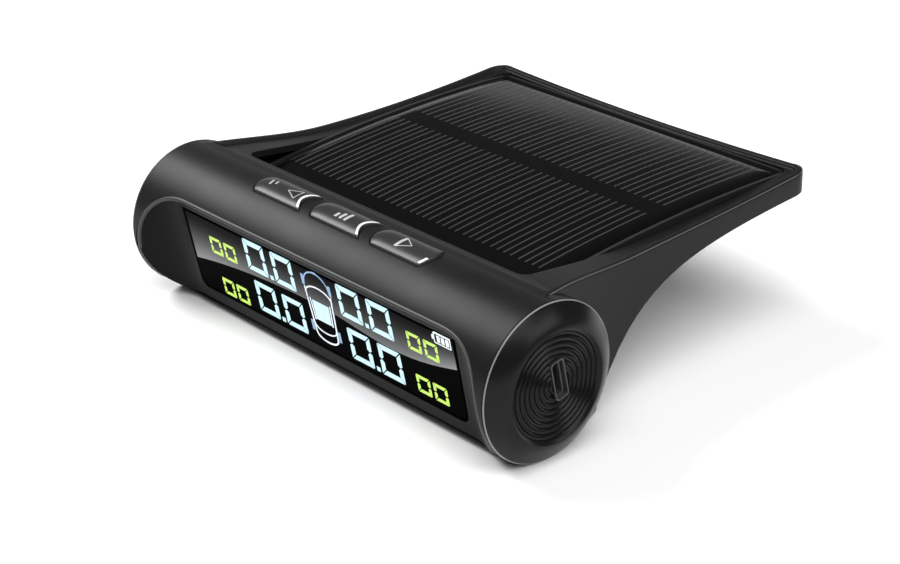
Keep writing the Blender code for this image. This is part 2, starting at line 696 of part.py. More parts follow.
def board_and_chips():
    rear = BOARD_FRONT - BOARD_THICKNESS
    high = (BOARD_RIGHT, BOARD_TOP, BOARD_FRONT)
    board = box("main_board", (BOARD_LEFT, BOARD_BOTTOM, rear), high, "board", DISPLAY)
    for side in (-1, 1):
        name = "board_hole_right" if side > 0 else "board_hole_left"
        combine(board, rod(name, BOARD_HOLE, (side * POST_U, POST_V, rear - 1 * MM),
                           (side * POST_U, POST_V, BOARD_FRONT + 1 * MM), None, DISPLAY, 16))
    seat = rear - SEAT_GAP
    for name, (u, v, width, height, thickness, rounding, finish) in BOARD_COMPONENTS.items():
        low = (u - width / 2, v - height / 2, seat / MM - thickness)
        high = (u + width / 2, v + height / 2, seat / MM)
        box(name, Vector(low) * MM, Vector(high) * MM, finish, DISPLAY, rounding * MM)
    buzzer_back = (*BUZZER_CENTRE, seat - BUZZER_HEIGHT)
    rod("buzzer", BUZZER_RADIUS, buzzer_back, (*BUZZER_CENTRE, seat), "chip", DISPLAY, 32)
    antenna(seat)


def antenna(seat):
    """A short helical aerial beside the radio."""
    per_turn = 10
    curve = bpy.data.curves.new("antenna_coil", "CURVE")
    curve.dimensions = "3D"
    curve.bevel_depth = COIL_WIRE
    curve.bevel_resolution = 1
    curve.use_fill_caps = True
    spline = curve.splines.new("POLY")
    spline.points.add(COIL_TURNS * per_turn)
    for i, target in enumerate(spline.points):
        angle = 2 * pi * i / per_turn
        u = COIL_START[0] + COIL_PITCH * i / per_turn
        v = COIL_START[1] + COIL_RADIUS * cos(angle)
        w = seat - COIL_RADIUS - COIL_WIRE - 0.2 * MM + COIL_RADIUS * sin(angle)
        target.co = (*(DISPLAY @ Vector((u, v, w))), 1)
    wire_mesh("antenna_coil", curve, "gold")


def wire_mesh(name, curve, finish):
    """Turn a bevelled curve into a closed mesh part."""
    path = bpy.data.objects.new(name + "_path", curve)
    bpy.context.scene.collection.objects.link(path)
    evaluated = path.evaluated_get(bpy.context.evaluated_depsgraph_get())
    mesh = bmesh.new()
    mesh.from_mesh(bpy.data.meshes.new_from_object(evaluated))
    bmesh.ops.remove_doubles(mesh, verts=mesh.verts, dist=0.001 * MM)
    bpy.data.objects.remove(path, do_unlink=True)
    return from_bmesh(name, mesh, finish)


def wire(name, route, finish, radius=0.45 * MM, samples=22):
    """A thin lead through a few points, read from a smooth curve."""
    curve = bpy.data.curves.new(name, "CURVE")
    curve.dimensions = "3D"
    curve.bevel_depth = radius
    curve.bevel_resolution = 1
    curve.use_fill_caps = True
    spline = curve.splines.new("POLY")
    spline.points.add(samples)
    last = len(route) - 1
    for i, target in enumerate(spline.points):
        place = last * i / samples
        first = min(int(place), last - 1)
        t = place - first
        before = route[max(first - 1, 0)]
        start, end = route[first], route[first + 1]
        after = route[min(first + 2, last)]
        point = 0.5 * (2 * start + (end - before) * t + (2 * before - 5 * start + 4 * end - after) * t * t
                       + (3 * start - before - 3 * end + after) * t ** 3)
        target.co = (*point, 1)
    return wire_mesh(name, curve, finish)


def charging_socket():
    depth_end = LENGTH / 2 - SOCKET_INSET
    start = depth_end - SOCKET_LENGTH
    shell = outline_solid("usb_shell", socket_outline(0.0), start, depth_end, "steel", ENDWISE)
    mouth = socket_outline(-SOCKET_WALL)
    cutter = outline_solid("usb_mouth", mouth, start + SOCKET_WALL, depth_end + 2 * MM, None, ENDWISE)
    combine(shell, cutter)
    xs = [x for x, y in mouth]
    middle = (min(xs) + max(xs)) / 2
    low = (middle - TONGUE_HALF_DEPTH, SOCKET_V - TONGUE_HALF_WIDTH, start + SOCKET_WALL + SEAT_GAP)
    high = (middle + TONGUE_HALF_DEPTH, SOCKET_V + TONGUE_HALF_WIDTH, depth_end - 1.0 * MM)
    box("usb_tongue", low, high, "chip", ENDWISE)


# ---------------------------------------------------------------- keys
def keys():
    board_top = AXIS_Z + KEY_BOARD_Z + KEY_BOARD_THICKNESS
    middle_back = (KEY_FRONT + KEY_REAR) / 2
    box("key_board", (-KEY_BOARD_HALF_X, -KEY_BOARD_HALF_Y, AXIS_Z + KEY_BOARD_Z),
        (KEY_BOARD_HALF_X, KEY_BOARD_HALF_Y, board_top), "board")
    crown = barrel("key_crown", BARREL_RADIUS + KEY_PROUD, LENGTH)
    switch_top = board_top + SWITCH_HEIGHT
    plunger_top = switch_top + PLUNGER_PROUD
    for i, side in enumerate(("left", "middle", "right")):
        x = (i - 1) * KEY_PITCH
        key = outline_solid(f"key_{side}", key_outline(i), AXIS_Z + KEY_FOOT, HEIGHT + 3 * MM, "key", LEVEL)
        combine(key, crown, "INTERSECT")
        stem = box(f"key_stem_{side}", (x - STEM_HALF_X, middle_back - STEM_HALF_Y, plunger_top + SEAT_GAP),
                   (x + STEM_HALF_X, middle_back + STEM_HALF_Y, AXIS_Z + KEY_FOOT + 0.6 * MM), None)
        combine(key, stem, "UNION")
        low = (x - SWITCH_HALF_X, middle_back - SWITCH_HALF_Y, board_top + SEAT_GAP)
        high = (x + SWITCH_HALF_X, middle_back + SWITCH_HALF_Y, switch_top)
        switch = box(f"switch_{side}", low, high, "steel")
        centre = (x, middle_back)
        low, high = (*centre, board_top + 0.25 * MM), (*centre, switch_top + 1 * MM)
        well = rod(f"switch_well_{side}", SWITCH_WELL_RADIUS, low, high, None, LEVEL, 20)
        combine(switch, well)
        plunger_low = board_top + KEY_TRAVEL + GAP
        plunger = rod(f"plunger_{side}", PLUNGER_RADIUS, (*centre, plunger_low), (*centre, plunger_top),
                      "chip", LEVEL, 20)
        for moving in (key, plunger):
            centre_on(moving, world(x, middle_back, HEIGHT))


# ---------------------------------------------------------------- solar panel
def panel_layer(name, top_offset, thickness, half, front, rear, finish, spans=10):
    """A thin sheet that follows the panel's arch at a given depth below its top."""
    rings = []
    for back in steps(front, rear, spans):
        high = panel_height(back) - top_offset
        rings.append(wing_ring(back, half, high - thickness, lambda x, z=high: z, columns=1))
    return loft(name, rings, finish)


def solar_panel():
    panel_layer("solar_cover", 0.0, COVER_THICKNESS, PANEL_HALF, PANEL_FRONT, PANEL_REAR, "panel")
    depth = COVER_THICKNESS + LAYER_GAP
    half = PANEL_HALF - CELL_INSET
    panel_layer("solar_cells_front", depth, CELL_THICKNESS, half, PANEL_FRONT + CELL_INSET,
                CELL_SPLIT - CELL_BAND / 2, "cell", 6)
    panel_layer("solar_cells_rear", depth, CELL_THICKNESS, half, CELL_SPLIT + CELL_BAND / 2,
                PANEL_REAR - CELL_INSET, "cell", 6)
    depth += CELL_THICKNESS + LAYER_GAP
    front = WELL_FRONT + GAP
    rear = WELL_REAR - GAP
    half = WELL_HALF - GAP
    tray = panel_layer("solar_tray", 0.0, depth + TRAY_THICKNESS, half, front, rear, "tray")
    low = (-half, front, panel_height(front) - depth)
    wall = box("tray_wall", low, (half, front + TRAY_THICKNESS, TRAY_WALL_TOP), None)
    combine(tray, wall, "UNION")
    plan = rounded_outline(-half, front, half, rear, [WELL_RADIUS] * 4)
    combine(tray, outline_solid("tray_plan", plan, 10 * MM, HEIGHT, None, LEVEL), "INTERSECT")
    half -= TRAY_THICKNESS
    hollow = panel_layer("tray_hollow", -5 * MM, depth + 5 * MM, half, front + TRAY_THICKNESS,
                         rear - TRAY_THICKNESS, None)
    combine(tray, hollow)


# ---------------------------------------------------------------- battery, pad and fasteners
def battery():
    back = (FOOT_FRONT + FOOT_REAR) / 2
    low_z = PAD_THICKNESS + FOOT_WALL + 0.2 * MM
    low = (-BATTERY_SIZE.x / 2, back - BATTERY_SIZE.y / 2, low_z)
    high = (BATTERY_SIZE.x / 2, back + BATTERY_SIZE.y / 2, low_z + BATTERY_SIZE.z)
    box("battery", low, high, "battery", bevel=1.2 * MM)
    foam_low = (-11 * MM, back - 7 * MM, high[2] + 0.1 * MM)
    box("battery_foam", foam_low, (11 * MM, back + 7 * MM, high[2] + 1.9 * MM), "foam")
    plug_u, plug_v = BOARD_COMPONENTS["battery_connector"][:2]
    plug = DISPLAY @ Vector((plug_u * MM, plug_v * MM, BOARD_FRONT - BOARD_THICKNESS - 3.9 * MM))
    for finish, shift in (("red", -1.2 * MM), ("black", 1.2 * MM)):
        start = plug + Vector((shift, 0, 0))
        end = world(BATTERY_SIZE.x / 2 + 0.75 * MM, back + 2 * shift, low_z + BATTERY_SIZE.z / 2)
        route = [start, start + Vector((0, 2.4 * MM, -0.6 * MM)),
                 world(25 * MM + shift, 11 * MM, 12 * MM + shift),
                 world(20 * MM + shift, back - 4 * MM + shift, high[2] + 6.4 * MM),
                 world(BATTERY_SIZE.x / 2 - 0.5 * MM, back + 2 * shift, high[2] + 3.4 * MM)]
        wire(f"battery_wire_{finish}", route, finish)


def rubber_pad():
    outline = rounded_outline(-PAD_HALF_X, PAD_FRONT, PAD_HALF_X, PAD_REAR, [PAD_RADIUS] * 4)
    outline_solid("anti_slip_pad", outline, 0.0, PAD_THICKNESS, "rubber", LEVEL)


def screw(name, frame, base, length, head_radius, radius):
    """A pan-head screw whose shank runs along the frame's local Z from its seat."""
    x, y, z = base
    head_end = z - SCREW_HEAD_HEIGHT
    obj = rod(name, radius, (x, y, z - SCREW_HEAD_HEIGHT / 4), (x, y, z + length), "steel", frame, 12)
    combine(obj, rod(name + "_head", head_radius, (x, y, head_end), (x, y, z), None, frame, 24), "UNION")
    for turn in (0, 1):
        reach_x, reach_y = (CROSS_HALF_LENGTH, CROSS_HALF_WIDTH)[::1 - 2 * turn]
        low = (x - reach_x, y - reach_y, head_end - MM)
        high = (x + reach_x, y + reach_y, head_end + CROSS_DEPTH)
        combine(obj, box(f"{name}_slot_{turn}", low, high, None, frame))
    return obj


def fasteners():
    for side in (-1, 1):
        word = "right" if side > 0 else "left"
        screw(f"housing_screw_{word}", LEVEL, (side * BOSS_X, BOSS_Y, 0.8 * MM), SCREW_LENGTH,
              SCREW_HEAD_RADIUS, SCREW_RADIUS)
        seat = BOARD_FRONT - BOARD_THICKNESS - SEAT_GAP
        screw(f"board_screw_{word}", DISPLAY, (side * POST_U, POST_V, seat), BOARD_SCREW_LENGTH,
              BOARD_SCREW_HEAD_RADIUS, BOARD_SCREW_RADIUS)


def build():
    wing = wing_solid()
    opening = outline_solid("front_opening", opening_outline(0.0, LENGTH / 2, -2 * MM), 0.0, 16 * MM, None,
                            FRONTAL)
    upper_housing(wing, opening)
    lower_housing(wing)
    front_bezel()
    end_cap("end_cap_left", -1)
    end_cap("end_cap_right", 1)
    display_stack()
    board_and_chips()
    charging_socket()
    keys()
    solar_panel()
    battery()
    rubber_pad()
    fasteners()


build()
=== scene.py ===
from math import cos, exp, pi, radians, sin, sqrt

import bmesh
import bpy
from mathutils import Matrix, Vector

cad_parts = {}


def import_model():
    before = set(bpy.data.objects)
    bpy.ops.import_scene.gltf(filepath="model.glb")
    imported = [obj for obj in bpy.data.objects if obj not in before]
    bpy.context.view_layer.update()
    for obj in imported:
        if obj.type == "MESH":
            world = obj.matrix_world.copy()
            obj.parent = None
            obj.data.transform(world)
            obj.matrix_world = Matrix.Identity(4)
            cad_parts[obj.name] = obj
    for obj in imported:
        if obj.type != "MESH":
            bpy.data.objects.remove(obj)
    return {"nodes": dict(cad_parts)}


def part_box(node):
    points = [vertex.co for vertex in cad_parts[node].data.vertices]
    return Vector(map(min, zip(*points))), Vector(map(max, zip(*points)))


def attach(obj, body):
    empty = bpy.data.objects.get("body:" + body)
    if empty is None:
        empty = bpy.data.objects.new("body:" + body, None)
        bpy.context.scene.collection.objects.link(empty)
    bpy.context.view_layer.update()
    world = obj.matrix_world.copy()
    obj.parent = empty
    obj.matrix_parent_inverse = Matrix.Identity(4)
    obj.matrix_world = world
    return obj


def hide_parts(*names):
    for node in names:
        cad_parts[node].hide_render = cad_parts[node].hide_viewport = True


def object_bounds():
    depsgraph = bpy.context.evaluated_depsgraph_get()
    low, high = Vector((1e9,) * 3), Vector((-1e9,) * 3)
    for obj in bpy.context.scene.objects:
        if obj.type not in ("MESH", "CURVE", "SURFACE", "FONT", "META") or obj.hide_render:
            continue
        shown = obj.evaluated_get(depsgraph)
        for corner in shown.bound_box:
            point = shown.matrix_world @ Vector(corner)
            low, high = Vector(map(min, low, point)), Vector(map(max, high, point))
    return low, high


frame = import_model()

MM = 0.001

# ---- sizes read from the frame
CAD_LOW, CAD_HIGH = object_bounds()
CAP_LOW, CAP_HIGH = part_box("end_cap_right")
COVER_LOW, COVER_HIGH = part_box("solar_cover")
LENGTH = CAD_HIGH.x - CAD_LOW.x
DEPTH = CAD_HIGH.y - CAD_LOW.y
RADIUS = (CAP_HIGH.z - CAP_LOW.z) / 2
AXIS_Y = (CAP_HIGH.y + CAP_LOW.y) / 2
AXIS_Z = (CAP_HIGH.z + CAP_LOW.z) / 2
HEIGHT = 2 * RADIUS
REAR_BACK = CAD_HIGH.y - AXIS_Y

# ---- driving dimensions
WALL = 1.5 * MM
GAP = 0.3 * MM
TILT = radians(11.0)  # the display leans back this far from upright
DISPLAY_BACK = -9.5 * MM
DISPLAY_RISE = 7.9 * MM
DOME_RISE = 2.1 * MM
RIM_X = LENGTH / 2 - DOME_RISE
RIM_BEVEL = 0.22 * MM
CAP_X = RIM_X - 0.38 * MM
BARREL_END = CAP_X - 0.04 * MM
REAR_HALF = 38.0 * MM
FLARE = 6.0 * MM
FLARE_DECAY = 18.5 * MM
CORNER_RADIUS = 3.2 * MM
CORNER_START = REAR_BACK - CORNER_RADIUS
DIP = 1.9 * MM
DIP_AT = 25.0 * MM
REAR_SAG = 0.8 * MM
UNDERSIDE_HEIGHT = 18.84 * MM
UNDERSIDE_SLOPE = 0.045
UNDERSIDE_SWEEP = 86.2 * MM
UNDERSIDE_REACH = 9.8 * MM
FLANGE = 1.7 * MM
EDGE_ROUND = 0.55 * MM  # outer top edge of the wing
EDGE_LINE = 0.2 * MM
RIM_WIDTH = 1.4 * MM
RIM_STEP = 0.5 * MM  # the rim's inner step: its height, inset and width
STEP_INSET = 0.25 * MM
STEP_WIDTH = 0.35 * MM
RIM_FRONT = 3.5 * MM
PARTING_Z = 1.6 * MM
WELL_HALF = 35.0 * MM
WELL_FRONT = 4.9 * MM
WELL_REAR = 66.4 * MM
WELL_RADIUS = 2.0 * MM
PANEL_CORNER = 2.6 * MM
PANEL_ROUND = 0.3 * MM
PANEL_HALF = COVER_HIGH.x
PANEL_FRONT = COVER_LOW.y - AXIS_Y
PANEL_REAR = COVER_HIGH.y - AXIS_Y
PANEL_HIGH = 25.1 * MM
PANEL_CREST = 52.0 * MM
PANEL_ARCH = 43.8 * MM
PANEL_FALL = 3.0 * MM
PILLOW_WIDTH = 2.2 * MM  # the cover's soft edge: a wide strip with a large radius
PILLOW_RADIUS = 6.0 * MM
CELL_SPLIT = 38.5 * MM
CELL_BAND = 4.0 * MM
FINGER_START = -32.9 * MM
FINGER_PITCH = 1.53 * MM
FINGER_GROUPS = 10
GROUP_PITCH = 6.5 * MM
GROUP_SIZE = 4
FINGER_HALF = 0.17 * MM
FRONT_MARGIN = 4.4 * MM
REAR_MARGIN = 1.8 * MM
OPENING_TOP = 8.1 * MM
OPENING_STRAIGHT = 33.0 * MM  # half length of the opening's straight top edge
LIP_STANDS = 0.06 * MM  # how far the opening's lip stands out of the shell
FACE_HALF = 35.6 * MM
BOWL_WIDTH = 9.6 * MM
BOWL_DEPTH = 10.0 * MM
WINDOW_TOP = -1.6 * MM
WINDOW_BOTTOM = -17.1 * MM
WINDOW_HALF_TOP = 34.9 * MM
WINDOW_HALF_BOTTOM = 34.6 * MM
WINDOW_RADIUS = 1.8 * MM
PANE_FRONT = -0.02 * MM
PANE_CHAMFER = 0.3 * MM
# where the window's painted reflection ends at its middle, and how far its edge curve reaches along the
# window
PAINTED_REFLECTION_MIDDLE = -8.3 * MM
PAINTED_REFLECTION_REACH = 34 * MM
KEY_PITCH = 15.2 * MM
KEY_LENGTH = 13.7 * MM
KEY_FRONT = -4.2 * MM
KEY_REAR = 1.1 * MM
KEY_MIDDLE = (KEY_FRONT + KEY_REAR) / 2
KEY_HALF = (KEY_REAR - KEY_FRONT) / 2
KEY_BOW = 1.7 * MM
KEY_RAMP = 3.0 * MM
KEY_CLEARANCE = 0.15 * MM
KEY_CROWN = CAD_HIGH.z - AXIS_Z - 0.05 * MM
MARK_LIFT = 0.04 * MM
SOCKET_V = -8.6 * MM
SOCKET_DEEP = 8.5 * MM
SOCKET_HALF_X = 1.1 * MM
SOCKET_HALF_Y = 3.1 * MM
RIM_LINE = 0.17 * MM
ROUND_SIDES = 192
FLOOR_HALF = 3.0


def world(x, back, z):
    """A place from its x, its distance back from the barrel's axis and its height."""
    return Vector((x, AXIS_Y + back, z))


def display_frame():
    """X along the barrel, Y up the display's face and Z out of it."""
    x_axis = Vector((1, 0, 0))
    y_axis = Vector((0, -sin(TILT), cos(TILT)))
    z_axis = Vector((0, -cos(TILT), -sin(TILT)))
    matrix = Matrix((x_axis, y_axis, z_axis)).transposed().to_4x4()
    matrix.translation = world(0, DISPLAY_BACK, AXIS_Z + DISPLAY_RISE)
    return matrix


DISPLAY = display_frame()
LEVEL = Matrix.Translation(world(0, 0, 0))
FRONTAL = LEVEL @ Matrix.Rotation(pi / 2, 4, "X")
ENDWISE = DISPLAY @ Matrix.Rotation(pi / 2, 4, "Y")


# ---- form
def smooth(t):
    """Ease from 0 to 1, level at both ends."""
    t = min(max(t, 0.0), 1.0)
    return t * t * (3 - 2 * t)


def steps(low, high, count):
    """Evenly spaced values from low to high, both included."""
    return [low + (high - low) * i / count for i in range(count + 1)]


def side_half(back, inset=0.0):
    """Half width of the wing with its rounded rear corners, or of an outline inset from it."""
    half = REAR_HALF + FLARE * exp(-back / FLARE_DECAY) - inset
    radius = max(CORNER_RADIUS - inset, 0.3 * MM)
    past = back - CORNER_START
    if past > 0:
        half -= radius - sqrt(max(radius ** 2 - past ** 2, 0.0))
    return half


def top_height(x, back):
    """Height of the wing's top: its sides dip behind the barrel and its rear edge sags."""
    if back < DIP_AT:
        edge = HEIGHT - DIP * smooth(back / DIP_AT)
    else:
        t = (back - DIP_AT) / (REAR_BACK - DIP_AT)
        edge = HEIGHT - DIP * (1 - t * t)
    sag = REAR_SAG * back / REAR_BACK
    return edge - sag * (1 - min(abs(x) / side_half(back), 1.0) ** 2)


def underside(back):
    """Height of the wing's underside, which sweeps down to the floor behind the barrel."""
    curve = UNDERSIDE_SWEEP * exp(-back / UNDERSIDE_REACH)
    return max(UNDERSIDE_HEIGHT + UNDERSIDE_SLOPE * back - curve, 0.0)


def panel_height(back):
    """Height of the panel along its middle, a shallow arch from front to rear."""
    t = (PANEL_CREST - back) / PANEL_ARCH
    return PANEL_HIGH - PANEL_FALL * t * t


def panel_top(x, back):
    """Height of the panel's cover, which curves gently down towards its sides and rear."""
    past = max(PILLOW_WIDTH - min(PANEL_HALF - abs(x), PANEL_REAR - back), 0.0)
    return panel_height(back) - PILLOW_RADIUS + sqrt(PILLOW_RADIUS ** 2 - past ** 2)


def crown_height(back, radius):
    """Height of a barrel's upper surface at a distance back."""
    return AXIS_Z + sqrt(max(radius ** 2 - back ** 2, 0.0))


def rounding(distance, radius):
    """How far a rounded edge drops at a distance from it."""
    reach = max(radius - distance, 0.0)
    return radius - sqrt(max(radius ** 2 - reach ** 2, 0.0))


def wing_stations(start, inset=0.0):
    """Distances back at which the wing is sectioned, close together round its corners."""
    near = steps(start, 16 * MM, 14)
    far = steps(near[-1], CORNER_START, 22)[1:]
    radius = max(CORNER_RADIUS - inset, 0.3 * MM)
    turn = [CORNER_START + radius * sin(pi / 2 * i / 10) for i in range(1, 11)]
    return near + far + turn


# ---- mesh tools
def new_object(name, data):
    obj = bpy.data.objects.new(name, data)
    bpy.context.scene.collection.objects.link(obj)
    return obj


def from_bmesh(name, mesh, sharp=30):
    """An object with outward faces, shaded smooth except at its sharp edges."""
    bmesh.ops.recalc_face_normals(mesh, faces=mesh.faces)
    if mesh.calc_volume(signed=True) < 0:
        bmesh.ops.reverse_faces(mesh, faces=mesh.faces)
    data = bpy.data.meshes.new(name)
    mesh.to_mesh(data)
    mesh.free()
    data.shade_smooth()
    data.set_sharp_from_angle(angle=radians(sharp))
    return new_object(name, data)


def join(mesh, ring, following):
    """Quads between two closed rings of as many vertices."""
    made = []
    for i in range(len(ring)):
        j = (i + 1) % len(ring)
        made.append(mesh.faces.new((ring[i], ring[j], following[j], following[i])))
    return made


def outer_loop(grid):
    """The items along a grid's border, in order round it."""
    far_side = [row[-1] for row in grid[1:]]
    near_side = [row[0] for row in grid[-2:0:-1]]
    return grid[0][:] + far_side + grid[-1][-2::-1] + near_side


def sheet(mesh, first, second):
    """Faces of a thin sheet between two matching grids of vertices."""
    for grid in (first, second):
        for row, following in zip(grid, grid[1:]):
            for i in range(len(row) - 1):
                mesh.faces.new((row[i], row[i + 1], following[i + 1], following[i]))
    join(mesh, outer_loop(first), outer_loop(second))


def plates(name, outlines, levels, point):
    """Thin plates between two levels; point gives the place of an outline's corner at a level."""
    mesh = bmesh.new()
    for outline in outlines:
        lower, upper = [[mesh.verts.new(point(x, y, level)) for x, y in outline] for level in levels]
        join(mesh, lower, upper)
        mesh.faces.new(lower)
        mesh.faces.new(upper)
    return from_bmesh(name, mesh)


def loft(name, rings, closed=False):
    """A solid through matching rings of points, capped at its ends or closed on itself."""
    mesh = bmesh.new()
    rows = [[mesh.verts.new(point) for point in ring] for ring in rings]
    if closed:
        pairs = zip(rows, rows[1:] + rows[:1])
    else:
        pairs = zip(rows, rows[1:])
        mesh.faces.new(rows[0])
        mesh.faces.new(rows[-1])
    for row, following in pairs:
        join(mesh, row, following)
    return from_bmesh(name, mesh)


def prism(name, points, low, high, matrix):
    """A flat outline given thickness between two levels of a frame."""
    rings = [[matrix @ Vector((x, y, level)) for x, y in points] for level in (low, high)]
    return loft(name, rings)


def box(name, low, high, matrix=LEVEL):
    outline = [(low[0], low[1]), (high[0], low[1]), (high[0], high[1]), (low[0], high[1])]
    return prism(name, outline, low[2], high[2], matrix)


def circle(x, y, radius, sides):
    angles = [2 * pi * i / sides for i in range(sides)]
    return [(x + radius * cos(angle), y + radius * sin(angle)) for angle in angles]


def barrel(name, radius, half_length):
    ring = circle(0.0, 0.0, radius, ROUND_SIDES)
    matrix = Matrix.Translation(world(0, 0, AXIS_Z)) @ Matrix.Rotation(pi / 2, 4, "Y")
    return prism(name, ring, -half_length, half_length, matrix)


def rounded_outline(low_x, low_y, high_x, high_y, radius, segments=8):
    corners = [(low_x, low_y, pi), (high_x, low_y, 1.5 * pi)]
    corners += [(high_x, high_y, 0), (low_x, high_y, 0.5 * pi)]
    points = []
    for x, y, start in corners:
        centre_x = x + radius * (1 if x == low_x else -1)
        centre_y = y + radius * (1 if y == low_y else -1)
        for i in range(segments + 1):
            angle = start + pi / 2 * i / segments
            points.append((centre_x + radius * cos(angle), centre_y + radius * sin(angle)))
    return points


def cut(tool):
    return "DIFFERENCE", tool


def carve(obj, tools, sharp=30):
    """Apply a list of (operation, tool) Booleans and leave one clean mesh."""
    for operation, tool in tools:
        modifier = obj.modifiers.new(operation, "BOOLEAN")
        modifier.operation = operation
        modifier.object = tool
        modifier.solver = "EXACT"
    settle(obj, sharp)
    for operation, tool in tools:
        bpy.data.objects.remove(tool, do_unlink=True)


def settle(obj, sharp=30):
    """Apply an object's modifiers."""
    evaluated = obj.evaluated_get(bpy.context.evaluated_depsgraph_get())
    data = bpy.data.meshes.new_from_object(evaluated)
    obj.modifiers.clear()
    obj.data = data
    mesh = bmesh.new()
    mesh.from_mesh(data)
    bmesh.ops.remove_doubles(mesh, verts=mesh.verts, dist=0.002 * MM)
    bmesh.ops.dissolve_degenerate(mesh, edges=mesh.edges, dist=0.001 * MM)
    mesh.to_mesh(data)
    mesh.free()
    data.shade_smooth()
    data.set_sharp_from_angle(angle=radians(sharp))


def turned(name, profile, direction):
    """A closed profile of (radius, distance along) pairs turned about the barrel's axis."""
    mesh = bmesh.new()
    rings = []
    for radius, along in profile:
        count = 1 if radius == 0 else ROUND_SIDES
        around = circle(AXIS_Y, AXIS_Z, radius, ROUND_SIDES)[:count]
        rings.append([mesh.verts.new(Vector((direction * along, y, z))) for y, z in around])
    for ring, following in zip(rings, rings[1:]):
        for i in range(ROUND_SIDES):
            j = (i + 1) % ROUND_SIDES
            corners = [ring[i % len(ring)], ring[j % len(ring)], following[j % len(following)],
                       following[i % len(following)]]
            mesh.faces.new(list(dict.fromkeys(corners)))
    return from_bmesh(name, mesh, 35)


def edge_fractions(width, radius, count):
    """Fractions from 0 to 1 across a width, close together over a rounded edge at both ends."""
    near = [radius / width * (1 - cos(pi / 2 * i / 5)) for i in range(6)]
    middle = steps(near[-1], 1 - near[-1], count)[1:-1]
    return near + middle + [1 - f for f in reversed(near)]


def slab(name, left, right, front, rear, top, thickness, radius, columns, rows):
    """A sheet with rounded top edges whose sides follow formulas of the distance back."""
    mesh = bmesh.new()
    width = right((front + rear) / 2) - left((front + rear) / 2)
    across = edge_fractions(width, radius, columns)
    along = edge_fractions(rear - front, radius, rows)
    upper, lower = [], []
    for t in along:
        back = front + (rear - front) * t
        start, end = left(back), right(back)
        upper_row, lower_row = [], []
        for s in across:
            x = start + (end - start) * s
            edge = min(x - start, end - x, back - front, rear - back)
            high = top(x, back)
            upper_row.append(mesh.verts.new(world(x, back, high - rounding(edge, radius))))
            lower_row.append(mesh.verts.new(world(x, back, high - thickness)))
        upper.append(upper_row)
        lower.append(lower_row)
    sheet(mesh, upper, lower)
    return from_bmesh(name, mesh, 40)


def tube(name, route, radius, sides=10):
    """A round bar along a list of points."""
    rings = []
    for i, point in enumerate(route):
        before, after = route[max(i - 1, 0)], route[min(i + 1, len(route) - 1)]
        along = (after - before).normalized()
        side = along.cross(Vector((0, 1, 0.3))).normalized()
        other = along.cross(side)
        ring = []
        for k in range(sides):
            angle = 2 * pi * k / sides
            ring.append(point + radius * (side * cos(angle) + other * sin(angle)))
        rings.append(ring)
    return loft(name, rings)


# ---- materials
def base_material(name):
    material = bpy.data.materials.new(name)
    material.use_nodes = True
    tree = material.node_tree
    return material, tree, tree.nodes["Principled BSDF"]


def set_inputs(node, values):
    for name, value in values.items():
        node.inputs[name].default_value = value


def noise(tree, scale, detail=3.0):
    coordinates = tree.nodes.new("ShaderNodeTexCoord")
    texture = tree.nodes.new("ShaderNodeTexNoise")
    set_inputs(texture, {"Scale": scale, "Detail": detail})
    tree.links.new(coordinates.outputs["Object"], texture.inputs["Vector"])
    return texture


def spread(tree, source, low, high):
    """Map a noise value, which is mostly from 0.3 to 0.7, to a range."""
    mapping = tree.nodes.new("ShaderNodeMapRange")
    set_inputs(mapping, {"From Min": 0.3, "From Max": 0.7, "To Min": low, "To Max": high})
    tree.links.new(source, mapping.inputs["Value"])
    return mapping.outputs["Result"]


def finish(name, colour, roughness, metallic=0.0, grain=0.02, grain_size=0.35 * MM, vary=0.18, coat=0.0,
           edge=0.0, specular=0.5, ior=1.5):
    """Moulded or plated surface: fine grain, patchy sheen, slight colour drift and softened edges."""
    material, tree, shader = base_material(name)
    clouds = noise(tree, 1 / (14 * MM))
    mix = tree.nodes.new("ShaderNodeMix")
    mix.data_type = "RGBA"
    mix.inputs["A"].default_value = (*[c * (1 - vary) for c in colour], 1)
    mix.inputs["B"].default_value = (*[min(c * (1 + vary), 1) for c in colour], 1)
    tree.links.new(clouds.outputs["Fac"], mix.inputs["Factor"])
    tree.links.new(mix.outputs["Result"], shader.inputs["Base Color"])
    patchy = spread(tree, clouds.outputs["Fac"], roughness * 0.92, roughness * 1.08)
    tree.links.new(patchy, shader.inputs["Roughness"])
    fine = noise(tree, 1 / grain_size, 2.0)
    bump = tree.nodes.new("ShaderNodeBump")
    set_inputs(bump, {"Strength": grain, "Distance": grain_size * 0.3})
    tree.links.new(fine.outputs["Fac"], bump.inputs["Height"])
    if edge:
        soft = tree.nodes.new("ShaderNodeBevel")
        soft.samples = 4
        soft.inputs["Radius"].default_value = edge
        tree.links.new(soft.outputs["Normal"], bump.inputs["Normal"])
    tree.links.new(bump.outputs["Normal"], shader.inputs["Normal"])
    set_inputs(shader, {"Metallic": metallic, "Coat Weight": coat, "Coat Roughness": 0.08,
                        "Specular IOR Level": specular, "IOR": ior})
    return material


def lit_material(name, colour, strength):
    """A lit segment of the display, slightly uneven across its area."""
    material, tree, shader = base_material(name)
    patches = noise(tree, 1 / (0.9 * MM), 1.0)
    tree.links.new(spread(tree, patches.outputs["Fac"], strength * 0.86, strength * 1.08),
                   shader.inputs["Emission Strength"])
    set_inputs(shader, {"Emission Color": (*colour, 1), "Base Color": (0.02, 0.02, 0.02, 1),
                        "Roughness": 0.2})
    return material


